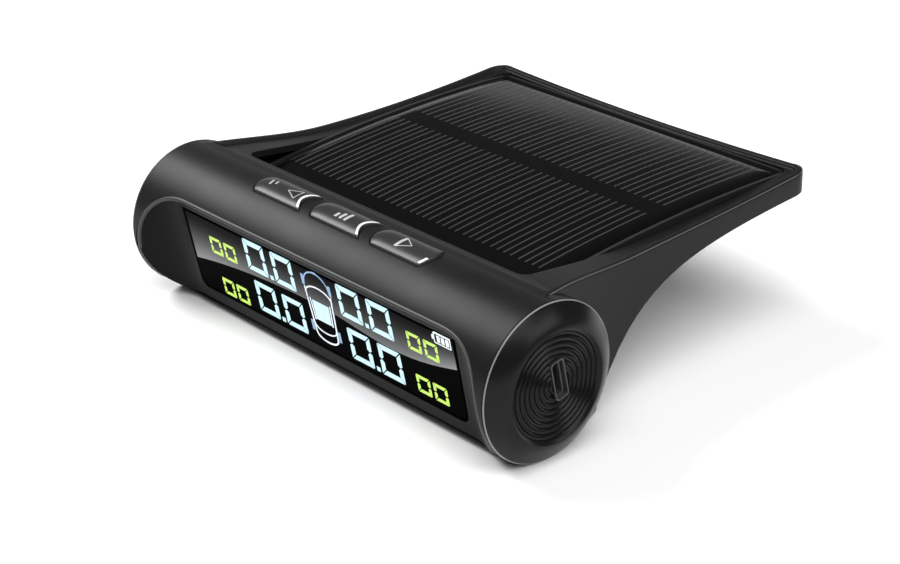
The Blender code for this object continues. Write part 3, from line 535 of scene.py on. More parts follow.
def pane_material():
    """Smoked window whose painted reflection, a grey gradient, is held in the mesh's own colour
    attribute.
    """
    material, tree, shader = base_material("smoked_window")
    # painted reflection: the vertex colour carries a grey gradient that stands in for a reflection on the
    # window
    sheen = tree.nodes.new("ShaderNodeVertexColor")
    sheen.layer_name = "sheen"
    speckle = noise(tree, 1 / (0.2 * MM), 1.0)
    tone = tree.nodes.new("ShaderNodeMix")
    tone.data_type = "RGBA"
    tone.blend_type = "MULTIPLY"
    tone.inputs["Factor"].default_value = 0.25
    tree.links.new(sheen.outputs["Color"], tone.inputs["A"])
    tree.links.new(speckle.outputs["Color"], tone.inputs["B"])
    tree.links.new(tone.outputs["Result"], shader.inputs["Base Color"])
    tree.links.new(spread(tree, speckle.outputs["Fac"], 0.05, 0.08), shader.inputs["Roughness"])
    shader.inputs["IOR"].default_value = 1.03
    return material


HOUSING = finish("housing_satin", (0.009, 0.009, 0.0092), 0.38, grain=0.05, edge=0.25 * MM, specular=0.12)
# painted highlight: light grey for the thin line round the end discs' rims
RIM_HIGHLIGHT = finish("rim_painted_highlight", (0.20, 0.20, 0.202), 0.3)
# painted highlight: a grey lighter than the housing for the opening's lip
LIP_HIGHLIGHT = finish("opening_lip_painted_highlight", (0.05, 0.05, 0.051), 0.42, specular=0.22)
FACE = finish("face_satin", (0.006, 0.006, 0.0064), 0.34, grain=0.03, edge=0.15 * MM, specular=0.07)
KEY_GLOSS = finish("key_gloss", (0.028, 0.028, 0.0285), 0.24, grain=0.01, edge=0.2 * MM, specular=0.2)
# painted glint: near-white colour for the arcs at the keys' right ends
KEY_PAINTED_GLINT = finish("key_painted_glint", (0.9, 0.9, 0.91), 0.16, coat=0.5)
KEY_MARK = finish("key_mark", (0.42, 0.42, 0.43), 0.3)
PANEL = finish("panel_gloss", (0.002, 0.002, 0.0024), 0.12, grain=0.004, ior=1.28)
DISC = finish("disc_satin", (0.006, 0.006, 0.0062), 0.26, grain=0.04, specular=0.15)
# painted highlight: a grey lighter than the housing for the wing's top edge
EDGE_HIGHLIGHT = finish("wing_edge_painted_highlight", (0.07, 0.07, 0.071), 0.36)
SOCKET_LIP = finish("socket_lip", (0.03, 0.03, 0.031), 0.2)
FINGER = finish("panel_finger_print", (0.026, 0.026, 0.027), 0.35)
PANE = pane_material()
# painted highlight: lighter grey for the window's chamfer
PANE_EDGE_HIGHLIGHT = finish("window_edge_painted_highlight", (0.11, 0.11, 0.112), 0.12, coat=0.5)
DIGIT = lit_material("digit_cyan", (0.60, 0.90, 1.0), 1.05)
DIGIT_WARM = lit_material("digit_lime", (0.62, 0.95, 0.10), 0.95)
ICON_WHITE = lit_material("icon_white", (0.86, 0.95, 1.0), 1.1)
ICON_BLUE = lit_material("icon_blue", (0.30, 0.52, 0.85), 0.8)
RUBBER = finish("pad_rubber", (0.014, 0.014, 0.014), 0.82, grain=0.25, grain_size=0.6 * MM)
METAL_DARK = finish("socket_shell_plate", (0.16, 0.16, 0.17), 0.3, metallic=0.8)


def paint(obj, *materials):
    obj.data.materials.clear()
    for material in materials:
        obj.data.materials.append(material)
    return obj


def place(obj, body, slot, *nodes):
    """Ride on a body and stand for CAD nodes; the slot argument is not used."""
    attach(obj, body)
    if nodes:
        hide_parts(*nodes)


# ---- housings
def wing_loop(inset, front):
    """Points (x, back) round the wing at an inset from its edge, clockwise from the front right."""
    sides = [(side_half(back, inset), back) for back in wing_stations(front, inset)]
    across = steps(1.0, -1.0, 24)[1:-1]
    rear = [(sides[-1][0] * s, sides[-1][1]) for s in across]
    left = [(-x, back) for x, back in reversed(sides)]
    fore = [(-sides[0][0] * s, sides[0][1]) for s in across]
    return sides + rear + left + fore


def rim_drop(inset):
    """How far the rounded edge and the rim's inner step drop at an inset."""
    return rounding(inset, EDGE_ROUND), RIM_STEP * smooth((inset - RIM_WIDTH + STEP_INSET) / STEP_WIDTH)


def cap_across(mesh, row, sides, across):
    """Close a row of wing_loop with strips that join its right side to its left."""
    total = len(row)
    left = [row[2 * sides + across - 1 - i] for i in range(sides)]
    rear = row[sides:sides + across]
    fore = row[total - across:]
    for i in range(sides - 1):
        ends = [row[i], row[i + 1]]
        if i == sides - 2:
            ends += rear
        ends += [left[i + 1], left[i]]
        if i == 0:
            ends += fore
        mesh.faces.new(ends)


def wing_block():
    """The wing as one solid with a rounded outer edge and a raised rim on top."""
    bury = 0.05 * MM
    bottom_round = 0.35 * MM
    outline = wing_loop(0.0, 0.0)
    sides = len(wing_stations(0.0))
    across = len(outline) // 2 - sides

    def low_height(back):
        return underside(back) + 0.12 * MM * (1 - smooth(back / (6 * MM)))

    rings = [[world(x, back, low_height(back)) for x, back in wing_loop(bottom_round, 0.0)],
             [world(x, back, low_height(back) + bottom_round) for x, back in outline]]
    insets = [EDGE_ROUND * (1 - cos(pi / 2 * i / 6)) for i in range(7)]
    insets += [RIM_WIDTH - 0.3 * MM] + [RIM_WIDTH - STEP_INSET + STEP_WIDTH * i / 5 for i in range(6)]
    insets += [RIM_WIDTH + 0.4 * MM]
    for inset in insets:
        front = inset / RIM_WIDTH * RIM_FRONT if inset < RIM_WIDTH else RIM_FRONT + inset - RIM_WIDTH
        round_drop, step_drop = rim_drop(inset)
        ring = []
        for x, back in wing_loop(inset, front):
            sunk = bury * (1 - smooth(back / (4 * MM)))
            drop = round_drop * smooth(back / (3 * MM)) + step_drop + sunk
            ring.append(world(x, back, top_height(x, back) - drop))
        rings.append(ring)
    inside = 0.8 * MM
    inner = []
    for x, back in outline:
        share = back / REAR_BACK
        back_in = WELL_FRONT + inside + (WELL_REAR - WELL_FRONT - 2 * inside) * share
        x_in = (WELL_HALF - inside) * max(min(x / side_half(back), 1.0), -1.0)
        inner.append(world(x_in, back_in, top_height(WELL_HALF, back_in) - RIM_STEP))
    rings.append(inner)
    mesh = bmesh.new()
    rows = [[mesh.verts.new(point) for point in ring] for ring in rings]
    for row, following in zip(rows, rows[1:]):
        join(mesh, row, following)
    for row in (rows[0], rows[-1]):
        cap_across(mesh, row, sides, across)
    return from_bmesh("wing_block", mesh)


def wing_ring(back, half, low, high, columns=12):
    """Section across the wing: a level bottom, and a top that follows a formula of x."""
    ring = [world(-half, back, low), world(half, back, low)]
    for x in reversed(steps(-half, half, columns)):
        ring.append(world(x, back, high(x)))
    return ring


def wing_inner():
    rings = []
    for back in wing_stations(0.5 * MM, WALL):
        half = side_half(back, WALL)
        rings.append(wing_ring(back, half, -5 * MM, lambda x, b=back: top_height(x, b) - FLANGE))
    return loft("wing_inner", rings)


def opening_half(inset, side, count=40):
    """Right half of the front opening's edge, as (x, height) from the top down."""
    start = Vector((OPENING_STRAIGHT, OPENING_TOP - inset))
    first = Vector((43.5 * MM - inset, OPENING_TOP - inset))
    second = Vector((44.0 * MM - inset, 1.0 * MM))
    end = Vector((side, -7.0 * MM))
    half = []
    for t in steps(0.0, 1.0, count):
        s = 1 - t
        point = start * s ** 3 + first * (3 * s * s * t) + second * (3 * s * t * t) + end * t ** 3
        half.append((min(point.x, side), AXIS_Z + point.y))
    return half


def opening_outline(inset, side, bottom):
    half = opening_half(inset, side) + [(side, bottom)]
    return half + [(-x, z) for x, z in reversed(half)]


def key_sides(index, grow=0.0):
    """Formulas for the left and right ends of a key."""
    middle = (index - 1) * KEY_PITCH
    right_bow = -KEY_BOW if index < 2 else KEY_BOW * 0.5

    def left(back):
        t = min(abs(back - KEY_MIDDLE) / KEY_HALF, 1.0)
        return middle - KEY_LENGTH / 2 - grow + KEY_BOW * (1 - sqrt(1 - t * t))

    def right(back):
        t = min(abs(back - KEY_MIDDLE) / KEY_HALF, 1.0)
        return middle + KEY_LENGTH / 2 + grow - max(right_bow, 0) + right_bow * (1 - t * t)

    return left, right


def key_hole(index, clearance):
    """Cutter for the hole that a key sits in."""
    left, right = key_sides(index, clearance)
    front, rear = KEY_FRONT - clearance, KEY_REAR + clearance
    backs = steps(front, rear, 20)
    points = [(right(back), back) for back in backs] + [(left(back), back) for back in reversed(backs)]
    return prism("key_hole", points, HEIGHT - 5 * MM, HEIGHT + 5 * MM, LEVEL)


def upper_shell():
    """Barrel and wing in one shell, with the panel's well, the front opening and the key holes."""
    obj = barrel("upper_shell", RADIUS, BARREL_END)
    well = rounded_outline(-WELL_HALF, WELL_FRONT, WELL_HALF, WELL_REAR, WELL_RADIUS)
    opening = opening_outline(0.0, BARREL_END + 1 * MM, -2 * MM)
    front = prism("front_opening", opening, 0.0, 16 * MM, FRONTAL)
    tools = [
        ("UNION", wing_block()),
        cut(barrel("bore", RADIUS - WALL, LENGTH)),
        cut(wing_inner()),
        cut(prism("well", well, 15 * MM, HEIGHT + 5 * MM, LEVEL)),
        cut(box("below", (-LENGTH, -DEPTH, -9 * MM), (LENGTH, DEPTH, PARTING_Z + GAP / 2))),
        cut(front),
    ]
    tools += [cut(key_hole(i, KEY_CLEARANCE)) for i in range(3)]
    carve(obj, tools)
    place(paint(obj, HOUSING), "root", "housing", "upper_housing")


def lower_shell():
    """Bottom of the barrel and skin under the wing, with the foot, battery bay and front ribs."""
    obj = barrel("lower_shell", RADIUS, BARREL_END)
    rings = []
    for back in wing_stations(8 * MM, WALL + GAP):
        top = max(underside(back + 0.8 * MM) + 0.85 * MM, PARTING_Z - GAP / 2 - 0.05 * MM)
        rings.append(wing_ring(back, side_half(back, WALL + GAP), max(underside(back), 0.05 * MM),
                               lambda x, z=top: z, columns=2))
    skin = loft("skin", rings)
    foot = box("foot", (-19 * MM, 6 * MM, 0.15 * MM), (19 * MM, 31 * MM, 14.5 * MM))
    soften = foot.modifiers.new("Soften", "BEVEL")
    soften.width = 2.0 * MM
    soften.segments = 8
    settle(foot)
    tools = [
        ("UNION", wing_block()),
        cut(box("above", (-LENGTH, -DEPTH, PARTING_Z - GAP / 2), (LENGTH, DEPTH, HEIGHT * 2))),
        ("UNION", skin),
        ("UNION", foot),
        cut(box("bay", (-17.6 * MM, 7.4 * MM, 2.2 * MM), (17.6 * MM, 29.6 * MM, HEIGHT))),
    ]
    pad_low, pad_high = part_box("anti_slip_pad")
    recess = rounded_outline(pad_low.x - GAP, pad_low.y - AXIS_Y - GAP, pad_high.x + GAP,
                             pad_high.y - AXIS_Y + GAP, 2.3 * MM)
    tools.append(cut(prism("recess", recess, -2 * MM, pad_high.z + 0.1 * MM, LEVEL)))
    for node in ("housing_screw_left", "housing_screw_right"):
        low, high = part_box(node)
        centre = (low + high) / 2
        for radius, top in ((0.85 * MM, 5 * MM), (1.8 * MM, 0.9 * MM)):
            ring = circle(centre.x, centre.y - AXIS_Y, radius, 40)
            tools.append(cut(prism("screw_hole", ring, -3 * MM, top, LEVEL)))
    for side in (-1, 1):
        near, far = sorted((side * FACE_HALF, side * (CAP_X - 0.1 * MM)))
        tools.append(("UNION", box("rib", (near, 0, 0.5 * MM), (far, 0.8 * MM, 2.4 * MM))))
    carve(obj, tools)
    place(paint(obj, HOUSING), "root", "housing", "lower_housing")


def opening_bead():
    """The rounded lip of the shell round the front opening, lighter than the shell as a painted
    highlight.
    """
    radius = 0.4 * MM
    half = opening_half(0.0, BARREL_END - radius)
    half += [(BARREL_END - radius, z) for z in steps(half[-1][1], PARTING_Z + 1.5 * MM, 12)[1:]]
    level = [(x, AXIS_Z + OPENING_TOP) for x in steps(0.0, OPENING_STRAIGHT, 40)[:-1]]
    right = level + half
    edge = [(-x, z) for x, z in reversed(right[1:])] + right
    reach = RADIUS - radius + LIP_STANDS
    route = [world(x, -sqrt(reach ** 2 - (z - AXIS_Z) ** 2), z) for x, z in edge]
    obj = tube("opening_lip", route, radius)
    place(paint(obj, LIP_HIGHLIGHT), "root", "housing")


def face_frame():
    """The tilted face, with ends that curl forward to the barrel's ends."""
    half = [(0.0, 0.0), (FACE_HALF, 0.0)]
    for u in steps(FACE_HALF, FACE_HALF + BOWL_WIDTH * 0.96, 32)[1:]:
        t = (u - FACE_HALF) / BOWL_WIDTH
        half.append((u, BOWL_DEPTH * (1 - sqrt(1 - t * t))))
    face = [(-u, w) for u, w in reversed(half[1:])] + half
    back = [(u, w - 1.4 * MM) for u, w in reversed(face)]
    section = DISPLAY @ Matrix.Rotation(pi / 2, 4, "X")
    obj = prism("face_frame", face + back, -3 * MM, 24 * MM, section)
    outline = opening_outline(0.05 * MM, BARREL_END - 0.1 * MM, PARTING_Z + GAP / 2)
    tools = [
        ("INTERSECT", barrel("limit", RADIUS - 0.05 * MM, LENGTH)),
        ("INTERSECT", prism("outline", outline, 2 * MM, 16 * MM, FRONTAL)),
        cut(prism("window_hole", window_outline(0.22 * MM), -6 * MM, 4 * MM, DISPLAY)),
    ]
    carve(obj, tools)
    place(paint(obj, FACE), "root", "bezel", "front_bezel")


def window_outline(grow=0.0, segments=10):
    """The window's outline on the display's face, rounded at its lower corners."""
    bottom, top = WINDOW_BOTTOM - grow, WINDOW_TOP + grow
    low_half, high_half = WINDOW_HALF_BOTTOM + grow, WINDOW_HALF_TOP + grow
    points = []
    for i in range(segments + 1):
        angle = pi + pi / 2 * i / segments
        across, rise = WINDOW_RADIUS * (1 + cos(angle)), WINDOW_RADIUS * (1 + sin(angle))
        points.append((-low_half + across, bottom + rise))
    points += [(-x, y) for x, y in reversed(points)]
    return points + [(high_half, top), (-high_half, top)]


def wing_edge_line(side, direction):
    """Painted highlight: a lighter line along the wing's outer top edge."""
    sunk = EDGE_ROUND - (EDGE_ROUND - EDGE_LINE + 0.03 * MM) * sqrt(0.5)
    route = []
    for back in wing_stations(2.4 * MM):
        x = max(side_half(back) - sunk, REAR_HALF - CORNER_RADIUS)
        route.append(world(direction * x, min(back, REAR_BACK - sunk), top_height(x, back) - sunk))
    obj = tube(f"wing_edge_line_{side}", route, EDGE_LINE)
    place(paint(obj, EDGE_HIGHLIGHT), "root", "housing")


# ---- end discs
def end_disc(side, direction):
    """Domed disc with fine concentric ridges round a shallow dish."""
    crown = LENGTH / 2
    dish = 8.8 * MM
    shoulder = 9.25 * MM
    ridges = 9
    land = crown - 0.35 * MM
    pitch = dish / ridges
    ridge = ((0.17, -0.04), (0.34, -0.36), (0.70, -0.36), (0.87, -0.04), (1.0, 0.05))
    profile = [(0.0, land + 0.05 * MM)]
    for i in range(ridges):
        profile += [(i * pitch + share * pitch, land + rise * MM) for share, rise in ridge]
    profile += [(9.0 * MM, crown - 0.12 * MM), (shoulder, crown)]
    outer = RADIUS - RIM_BEVEL
    fall = crown - RIM_X
    for i in range(1, 13):
        t = i / 12
        profile.append((shoulder + (outer - shoulder) * t, crown - fall * t ** 1.4))
    profile.append((RADIUS, RIM_X - RIM_BEVEL))
    inner = RADIUS - WALL - GAP
    profile += [(RADIUS, CAP_X + 0.1 * MM), (RADIUS - 0.1 * MM, CAP_X), (inner, CAP_X),
                (inner, CAP_X - 3 * MM), (inner - 1.2 * MM, CAP_X - 3 * MM), (inner - 1.2 * MM, RIM_X),
                (0.0, RIM_X + 0.1 * MM)]
    obj = turned(f"end_disc_{side}", profile, direction)
    near, far = sorted((direction * (CAP_X - 4 * MM), direction * CAP_X))
    tools = [cut(box("relief", (near, -30 * MM, -1.8 * MM), (far, 10 * MM, 20 * MM), DISPLAY))]
    if direction > 0:
        slot = socket_outline(0.25 * MM)
        tools.append(cut(prism("slot", slot, RIM_X - 4 * MM, LENGTH, ENDWISE)))
    carve(obj, tools, 35)
    place(paint(obj, DISC), "root", "housing", f"end_cap_{side}")


def rim_line(side, direction):
    """Painted highlight: a light grey bevelled line round an end disc's edge."""
    rings = []
    for around in steps(0, 2 * pi, ROUND_SIDES)[:-1]:
        ring = []
        for angle in steps(0, 2 * pi, 10)[:-1]:
            radius = RADIUS - RIM_LINE + RIM_LINE * cos(angle)
            x = direction * (RIM_X - RIM_BEVEL + RIM_LINE * sin(angle))
            ring.append(world(x, radius * cos(around), AXIS_Z + radius * sin(around)))
        rings.append(ring)
    obj = loft(f"rim_line_{side}", rings, closed=True)
    place(paint(obj, RIM_HIGHLIGHT), "root", "housing")


def socket_outline(grow):
    """Section of the charging socket: local X is into the display's depth."""
    return rounded_outline(SOCKET_DEEP - SOCKET_HALF_X - grow, SOCKET_V - SOCKET_HALF_Y - grow,
                           SOCKET_DEEP + SOCKET_HALF_X + grow, SOCKET_V + SOCKET_HALF_Y + grow, 0.6 * MM)


def socket_lip():
    """Raised ring round the charging socket's mouth."""
    outside = socket_outline(0.24 * MM)
    obj = prism("socket_lip", outside, RIM_X + 1.0 * MM, LENGTH / 2 - 0.12 * MM, ENDWISE)
    carve(obj, [cut(prism("mouth", socket_outline(0.05 * MM), RIM_X, LENGTH, ENDWISE))])
    place(paint(obj, SOCKET_LIP), "root", "housing")


# ---- keys
def key_top(index):
    """Height formula of a key: a low dome that meets the barrel at its front, rear and left end."""
    left = key_sides(index)[0]
    rise = KEY_CROWN - sqrt(RADIUS ** 2 - KEY_MIDDLE ** 2)

    def top(x, back):
        across = min(abs(back - KEY_MIDDLE) / KEY_HALF, 1.0)
        inward = min(max(x - left(back), 0.0) / KEY_RAMP, 1.0)
        arch, ramp = sqrt(1 - 0.9 * across ** 2), sqrt(1 - 0.8 * (1 - inward) ** 2)
        return crown_height(back, RADIUS) + rise * arch * ramp

    return top


def keycap(index, side):
    """A key's cap with a painted glint, a near-white arc, near its right end, which is short on the last
    key.
    """
    left, right = key_sides(index)
    top = key_top(index)
    obj = slab(f"keycap_{side}", left, right, KEY_FRONT, KEY_REAR, top, 2.4 * MM, 0.3 * MM, 40, 24)
    place(paint(obj, KEY_GLOSS), f"key_{side}_body", "key", f"key_{side}")

    def start(back):
        return right(back) - 0.75 * MM

    rear = KEY_REAR - 0.35 * MM if index < 2 else KEY_FRONT + 1.7 * MM
    glint = slab(f"key_painted_glint_{side}", start, lambda back: right(back) - 0.2 * MM, KEY_FRONT + 0.35 * MM,
                 rear, lambda x, back: top(x, back) + 0.03 * MM, 0.6 * MM, 0.05 * MM, 4, 16)
    place(paint(glint, KEY_PAINTED_GLINT), f"key_{side}_body", "key")


def decal(name, outlines, top):
    """Thin raised marks, given as outlines (x, back), on the crown of a key."""
    return plates(name, outlines, (-0.12 * MM, MARK_LIFT),
                  lambda x, back, level: world(x, back, top(x, back) + level))


def placed(points, x=0.0, y=0.0):
    """Points given in millimetres, moved to (x, y)."""
    return [(x + u * MM, y + v * MM) for u, v in points]


def stroke(points, width, pieces=1):
    """Quads that follow a line of points, as separate outlines."""
    shapes = []
    if pieces > 1:
        dense = []
        for (x0, y0), (x1, y1) in zip(points, points[1:]):
            dense += [(x0 + (x1 - x0) * i / pieces, y0 + (y1 - y0) * i / pieces) for i in range(pieces)]
        points = dense + [points[-1]]
    for (x0, y0), (x1, y1) in zip(points, points[1:]):
        length = sqrt((x1 - x0) ** 2 + (y1 - y0) ** 2)
        nx, ny = -(y1 - y0) / length * width / 2, (x1 - x0) / length * width / 2
        shapes.append([(x0 - nx, y0 - ny), (x1 - nx, y1 - ny), (x1 + nx, y1 + ny), (x0 + nx, y0 + ny)])
    return shapes


def key_marks():
    """Plain marks: a dash pair and an open triangle, three bars, and a triangle with a thick base."""
    triangle = placed([(3.4, 1.2), (0.6, 0), (3.4, -1.2), (3.4, 1.2)], -KEY_PITCH, KEY_MIDDLE)
    left = stroke(triangle, 0.16 * MM, 6)
    for dash in ([(-4.4, 0.9), (-3.9, -0.5)], [(-3.3, 1.0), (-3.0, 0.1)]):
        left += stroke(placed(dash, -KEY_PITCH, KEY_MIDDLE), 0.34 * MM, 4)
    middle = []
    foot = KEY_MIDDLE - 1.0 * MM
    for i in range(3):
        height = (1.1 + 0.5 * i) * MM
        start = (i - 1) * 1.15 * MM
        middle += stroke([(start, foot), (start, foot + height)], 0.62 * MM, 6)
    sides = placed([(-1.0, 1.4), (1.5, 0), (-1.0, -1.4)], KEY_PITCH, KEY_MIDDLE)
    base = placed([(-1.0, -1.4), (-1.0, 1.4)], KEY_PITCH, KEY_MIDDLE)
    right = stroke(sides, 0.16 * MM, 6) + stroke(base, 0.6 * MM, 8)
    for index, (side, shapes) in enumerate((("left", left), ("middle", middle), ("right", right))):
        obj = decal(f"key_mark_{side}", shapes, key_top(index))
        place(paint(obj, KEY_MARK), f"key_{side}_body", "key")


# ---- solar panel
def panel_cover():
    """The panel's clear cover, a curved sheet with rounded corners."""
    def right(back):
        past = max(PANEL_FRONT + PANEL_CORNER - back, back - PANEL_REAR + PANEL_CORNER, 0.0)
        return PANEL_HALF - PANEL_CORNER + sqrt(max(PANEL_CORNER ** 2 - past ** 2, 0.0))

    obj = slab("panel_cover", lambda back: -right(back), right, PANEL_FRONT, PANEL_REAR, panel_top,
               0.8 * MM, PANEL_ROUND, 80, 90)
    place(paint(obj, PANEL), "root", "panel", "solar_cover")


def panel_fingers():
    """Printed current fingers, in groups of four, in two rows with a plain band between."""
    mesh = bmesh.new()
    sunk, lift = -0.1 * MM, 0.025 * MM
    sides = ((-FINGER_HALF, sunk), (FINGER_HALF, sunk), (FINGER_HALF, lift), (-FINGER_HALF, lift))
    lines = [FINGER_START + group * GROUP_PITCH + i * FINGER_PITCH
             for group in range(FINGER_GROUPS) for i in range(GROUP_SIZE)]
    front_row = (PANEL_FRONT + FRONT_MARGIN, CELL_SPLIT - CELL_BAND / 2)
    rear_row = (CELL_SPLIT + CELL_BAND / 2, PANEL_REAR - REAR_MARGIN)
    for low, high in (front_row, rear_row):
        for x in lines:
            rings = []
            for back in steps(low, high, 24):
                ring = []
                for across, rise in sides:
                    height = panel_top(x + across, back) + rise
                    ring.append(mesh.verts.new(world(x + across, back, height)))
                rings.append(ring)
            for ring, following in zip(rings, rings[1:]):
                join(mesh, ring, following)
            mesh.faces.new(rings[0])
            mesh.faces.new(rings[-1])
    obj = from_bmesh("panel_fingers", mesh)
    place(paint(obj, FINGER), "root", "panel")


# ---- display
def painted_reflection_edge(u):
    """Height on the face of the line where the window's painted reflection ends."""
    if u < 0:
        return PAINTED_REFLECTION_MIDDLE - 3.0 * MM * (-u / PAINTED_REFLECTION_REACH) ** 2.2
    return PAINTED_REFLECTION_MIDDLE - 1.5 * MM * sin(pi * u / (38 * MM)) ** 2 + 1.2 * MM * (u / PAINTED_REFLECTION_REACH) ** 6


def painted_reflection_tone(u, v):
    """Brightness of the painted reflection: a grey gradient that is lightest along its lower edge and at
    its ends.
    """
    edge = painted_reflection_edge(u)
    depth = (WINDOW_TOP - v) / (WINDOW_TOP - edge)
    side = abs(u) / WINDOW_HALF_TOP
    return 0.010 + 0.30 * depth ** 2.2 * (0.55 + 0.75 * side ** 2)


def display_pane():
    """Chamfered window, with black as its colour attribute."""
    mesh = bmesh.new()
    layer = mesh.loops.layers.float_color.new("sheen")
    sections = ((window_outline(), -1.25 * MM), (window_outline(), PANE_FRONT - PANE_CHAMFER),
                (window_outline(-PANE_CHAMFER), PANE_FRONT))
    rings = []
    for points, level in sections:
        rings.append([mesh.verts.new(DISPLAY @ Vector((x, y, level))) for x, y in points])
    back_ring, edge_ring, front_ring = rings
    mesh.faces.new(back_ring)
    join(mesh, back_ring, edge_ring)
    chamfer_faces = join(mesh, edge_ring, front_ring)
    mesh.faces.new(front_ring)
    # the chamfer takes a lighter grey as a painted highlight
    for face in chamfer_faces:
        face.material_index = 1
    # the pane's own black, in the colour attribute that carries the painted reflection on the layer in
    # front
    for face in mesh.faces:
        for loop in face.loops:
            loop[layer] = (0.001, 0.001, 0.001, 1)
    pane = from_bmesh("display_pane", mesh)
    place(paint(pane, PANE, PANE_EDGE_HIGHLIGHT), "root", "window", "display_window")


def display_painted_reflection():
    """Thin layer over the window's top, with a painted reflection, a grey gradient, as a colour
    attribute.
    """
    columns, rows = 96, 14
    mesh = bmesh.new()
    layer = mesh.loops.layers.float_color.new("sheen")
    half = WINDOW_HALF_BOTTOM - PANE_CHAMFER - 0.05 * MM
    top = WINDOW_TOP - PANE_CHAMFER - 0.02 * MM
    tones = {}
    grids = []
    for level in (PANE_FRONT - 0.2 * MM, PANE_FRONT + 0.03 * MM):
        grid = []
        for u in steps(-half, half, columns):
            edge = painted_reflection_edge(u)
            column = []
            for t in steps(0.0, 1.0, rows):
                v = top + (edge - top) * t
                corner = mesh.verts.new(DISPLAY @ Vector((u, v, level)))
                tones[corner] = painted_reflection_tone(u, v)
                column.append(corner)
            grid.append(column)
        grids.append(grid)
    sheet(mesh, *grids)
    # painted reflection: each corner takes its grey tone in the colour attribute
    for face in mesh.faces:
        for loop in face.loops:
            tone = tones[loop.vert]
            loop[layer] = (tone, tone, tone * 1.02, 1)
    sheen = from_bmesh("display_painted_reflection", mesh)
    place(paint(sheen, PANE), "root", "window")


def face_marks(name, shapes, material):
    """Thin plates on the window, given as outlines on the display's face."""
    levels = (-0.1 * MM, 0.05 * MM)
    obj = plates(name, shapes, levels, lambda u, v, level: DISPLAY @ Vector((u, v, level)))
    place(paint(obj, material), "root", "window")


def zero(u, v, width, height, thick, gap):
    """Six mitred segments of a nought whose top left corner is at (u, v)."""
    t, g, middle = thick, gap, height / 2
    top = [(g, 0), (width - g, 0), (width - t - g, -t), (t + g, -t)]
    bottom = [(x, -height - y) for x, y in reversed(top)]
    upper_left = [(0, -g), (t, -t - g), (t, -middle + g + 0.35 * t), (0.5 * t, -middle + g / 2),
                  (0, -middle + g + 0.2 * t)]
    lower_left = [(x, -height - y) for x, y in reversed(upper_left)]
    right = [[(width - x, y) for x, y in reversed(shape)] for shape in (upper_left, lower_left)]
    shapes = [top, bottom, upper_left, lower_left] + right
    return [[(u + x, v + y) for x, y in shape] for shape in shapes]


def arc(centre, half_width, half_height, start, end, count=20):
    points = []
    for angle in steps(start, end, count):
        points.append((centre[0] + half_width * cos(angle), centre[1] + half_height * sin(angle)))
    return points


def display_content():
    """Pressures as large noughts, temperatures as small ones, a car from above and a battery."""
    pressures = []
    for pair in (-18.0 * MM, 6.6 * MM):
        for row in (-1.85 * MM, -9.95 * MM):
            shift = 0.55 * MM if row < -5 * MM else 0.0
            for digit in (0, 1):
                u = pair + shift + digit * 7.5 * MM
                pressures += zero(u, row, 5.5 * MM, 6.0 * MM, 0.95 * MM, 0.16 * MM)
            dot = pair + shift + 6.1 * MM
            pressures.append([(dot, row - 5.15 * MM), (dot + 0.8 * MM, row - 5.15 * MM),
                              (dot + 0.8 * MM, row - 5.95 * MM), (dot, row - 5.95 * MM)])
    face_marks("pressure_digits", pressures, DIGIT)
    warmth = []
    for u, row in ((-28.5, -5.0), (-27.7, -13.1), (23.1, -4.3), (23.4, -12.3)):
        for digit in (0, 1):
            warmth += zero((u + 4.0 * digit) * MM, row * MM, 3.2 * MM, 3.3 * MM, 0.58 * MM, 0.12 * MM)
    face_marks("temperature_digits", warmth, DIGIT_WARM)

    centre = 1.1 * MM
    white = stroke(arc((centre, -6.6 * MM), 3.35 * MM, 1.8 * MM, 0, pi), 0.26 * MM)
    for side in (-1, 1):
        body = placed([(side * 3.35, -5.4), (side * 2.75, -14.2)], centre)
        glass = placed([(side * 2.55, -7.4), (side * 2.2, -11.6)], centre)
        white += stroke(body, 0.26 * MM) + stroke(glass, 0.2 * MM)
    white += stroke(arc((centre, -12.4 * MM), 2.8 * MM, 1.3 * MM, pi, 2 * pi), 0.22 * MM)
    white += stroke(arc((centre, -14.1 * MM), 2.75 * MM, 1.35 * MM, pi, 2 * pi), 0.3 * MM)
    battery = [(30.1, -3.7), (30.1, -1.9), (33.8, -1.9), (33.8, -3.7), (30.1, -3.7)]
    white += stroke(placed(battery), 0.2 * MM)
    for u, width, height in ((29.75, 0.35, 0.8), (31.1, 0.7, 1.2), (32.1, 0.7, 1.2), (33.1, 0.7, 1.2)):
        white += stroke(placed([(u, -2.8 - height / 2), (u, -2.8 + height / 2)]), width * MM)
    face_marks("car_and_battery_lines", white, ICON_WHITE)

    blue = stroke(arc((centre, -4.7 * MM), 3.2 * MM, 2.75 * MM, 0, pi), 0.26 * MM)
    for side in (-1, 1):
        for row in (-4.2 * MM, -13.1 * MM):
            u = centre + side * 3.45 * MM
            blue += stroke([(u, row + 1.0 * MM), (u, row - 1.0 * MM)], 0.62 * MM)
    face_marks("car_nose_and_wheels", blue, ICON_BLUE)
    roof = placed([(-2.1, -7.7), (2.1, -7.7), (1.9, -11.4), (-1.9, -11.4)], centre)
    face_marks("car_roof", [roof], DIGIT)


# ---- pad and carried-over parts
def rubber_pad():
    """The anti-slip pad, with grooves across its underside."""
    low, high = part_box("anti_slip_pad")
    obj = prism("ribbed_pad", rounded_outline(low.x, low.y - AXIS_Y, high.x, high.y - AXIS_Y, 2 * MM),
                0.0, high.z - low.z, LEVEL)
    grooves = []
    count = 9
    for i in range(count):
        back = low.y - AXIS_Y + (high.y - low.y) * (i + 1) / (count + 1)
        near = (low.x + 2 * MM, back - 0.3 * MM, -1 * MM)
        far = (high.x - 2 * MM, back + 0.3 * MM, 0.25 * MM)
        grooves.append(cut(box("groove", near, far)))
    carve(obj, grooves)
    place(paint(obj, RUBBER), "root", "pad_rubber", "anti_slip_pad")


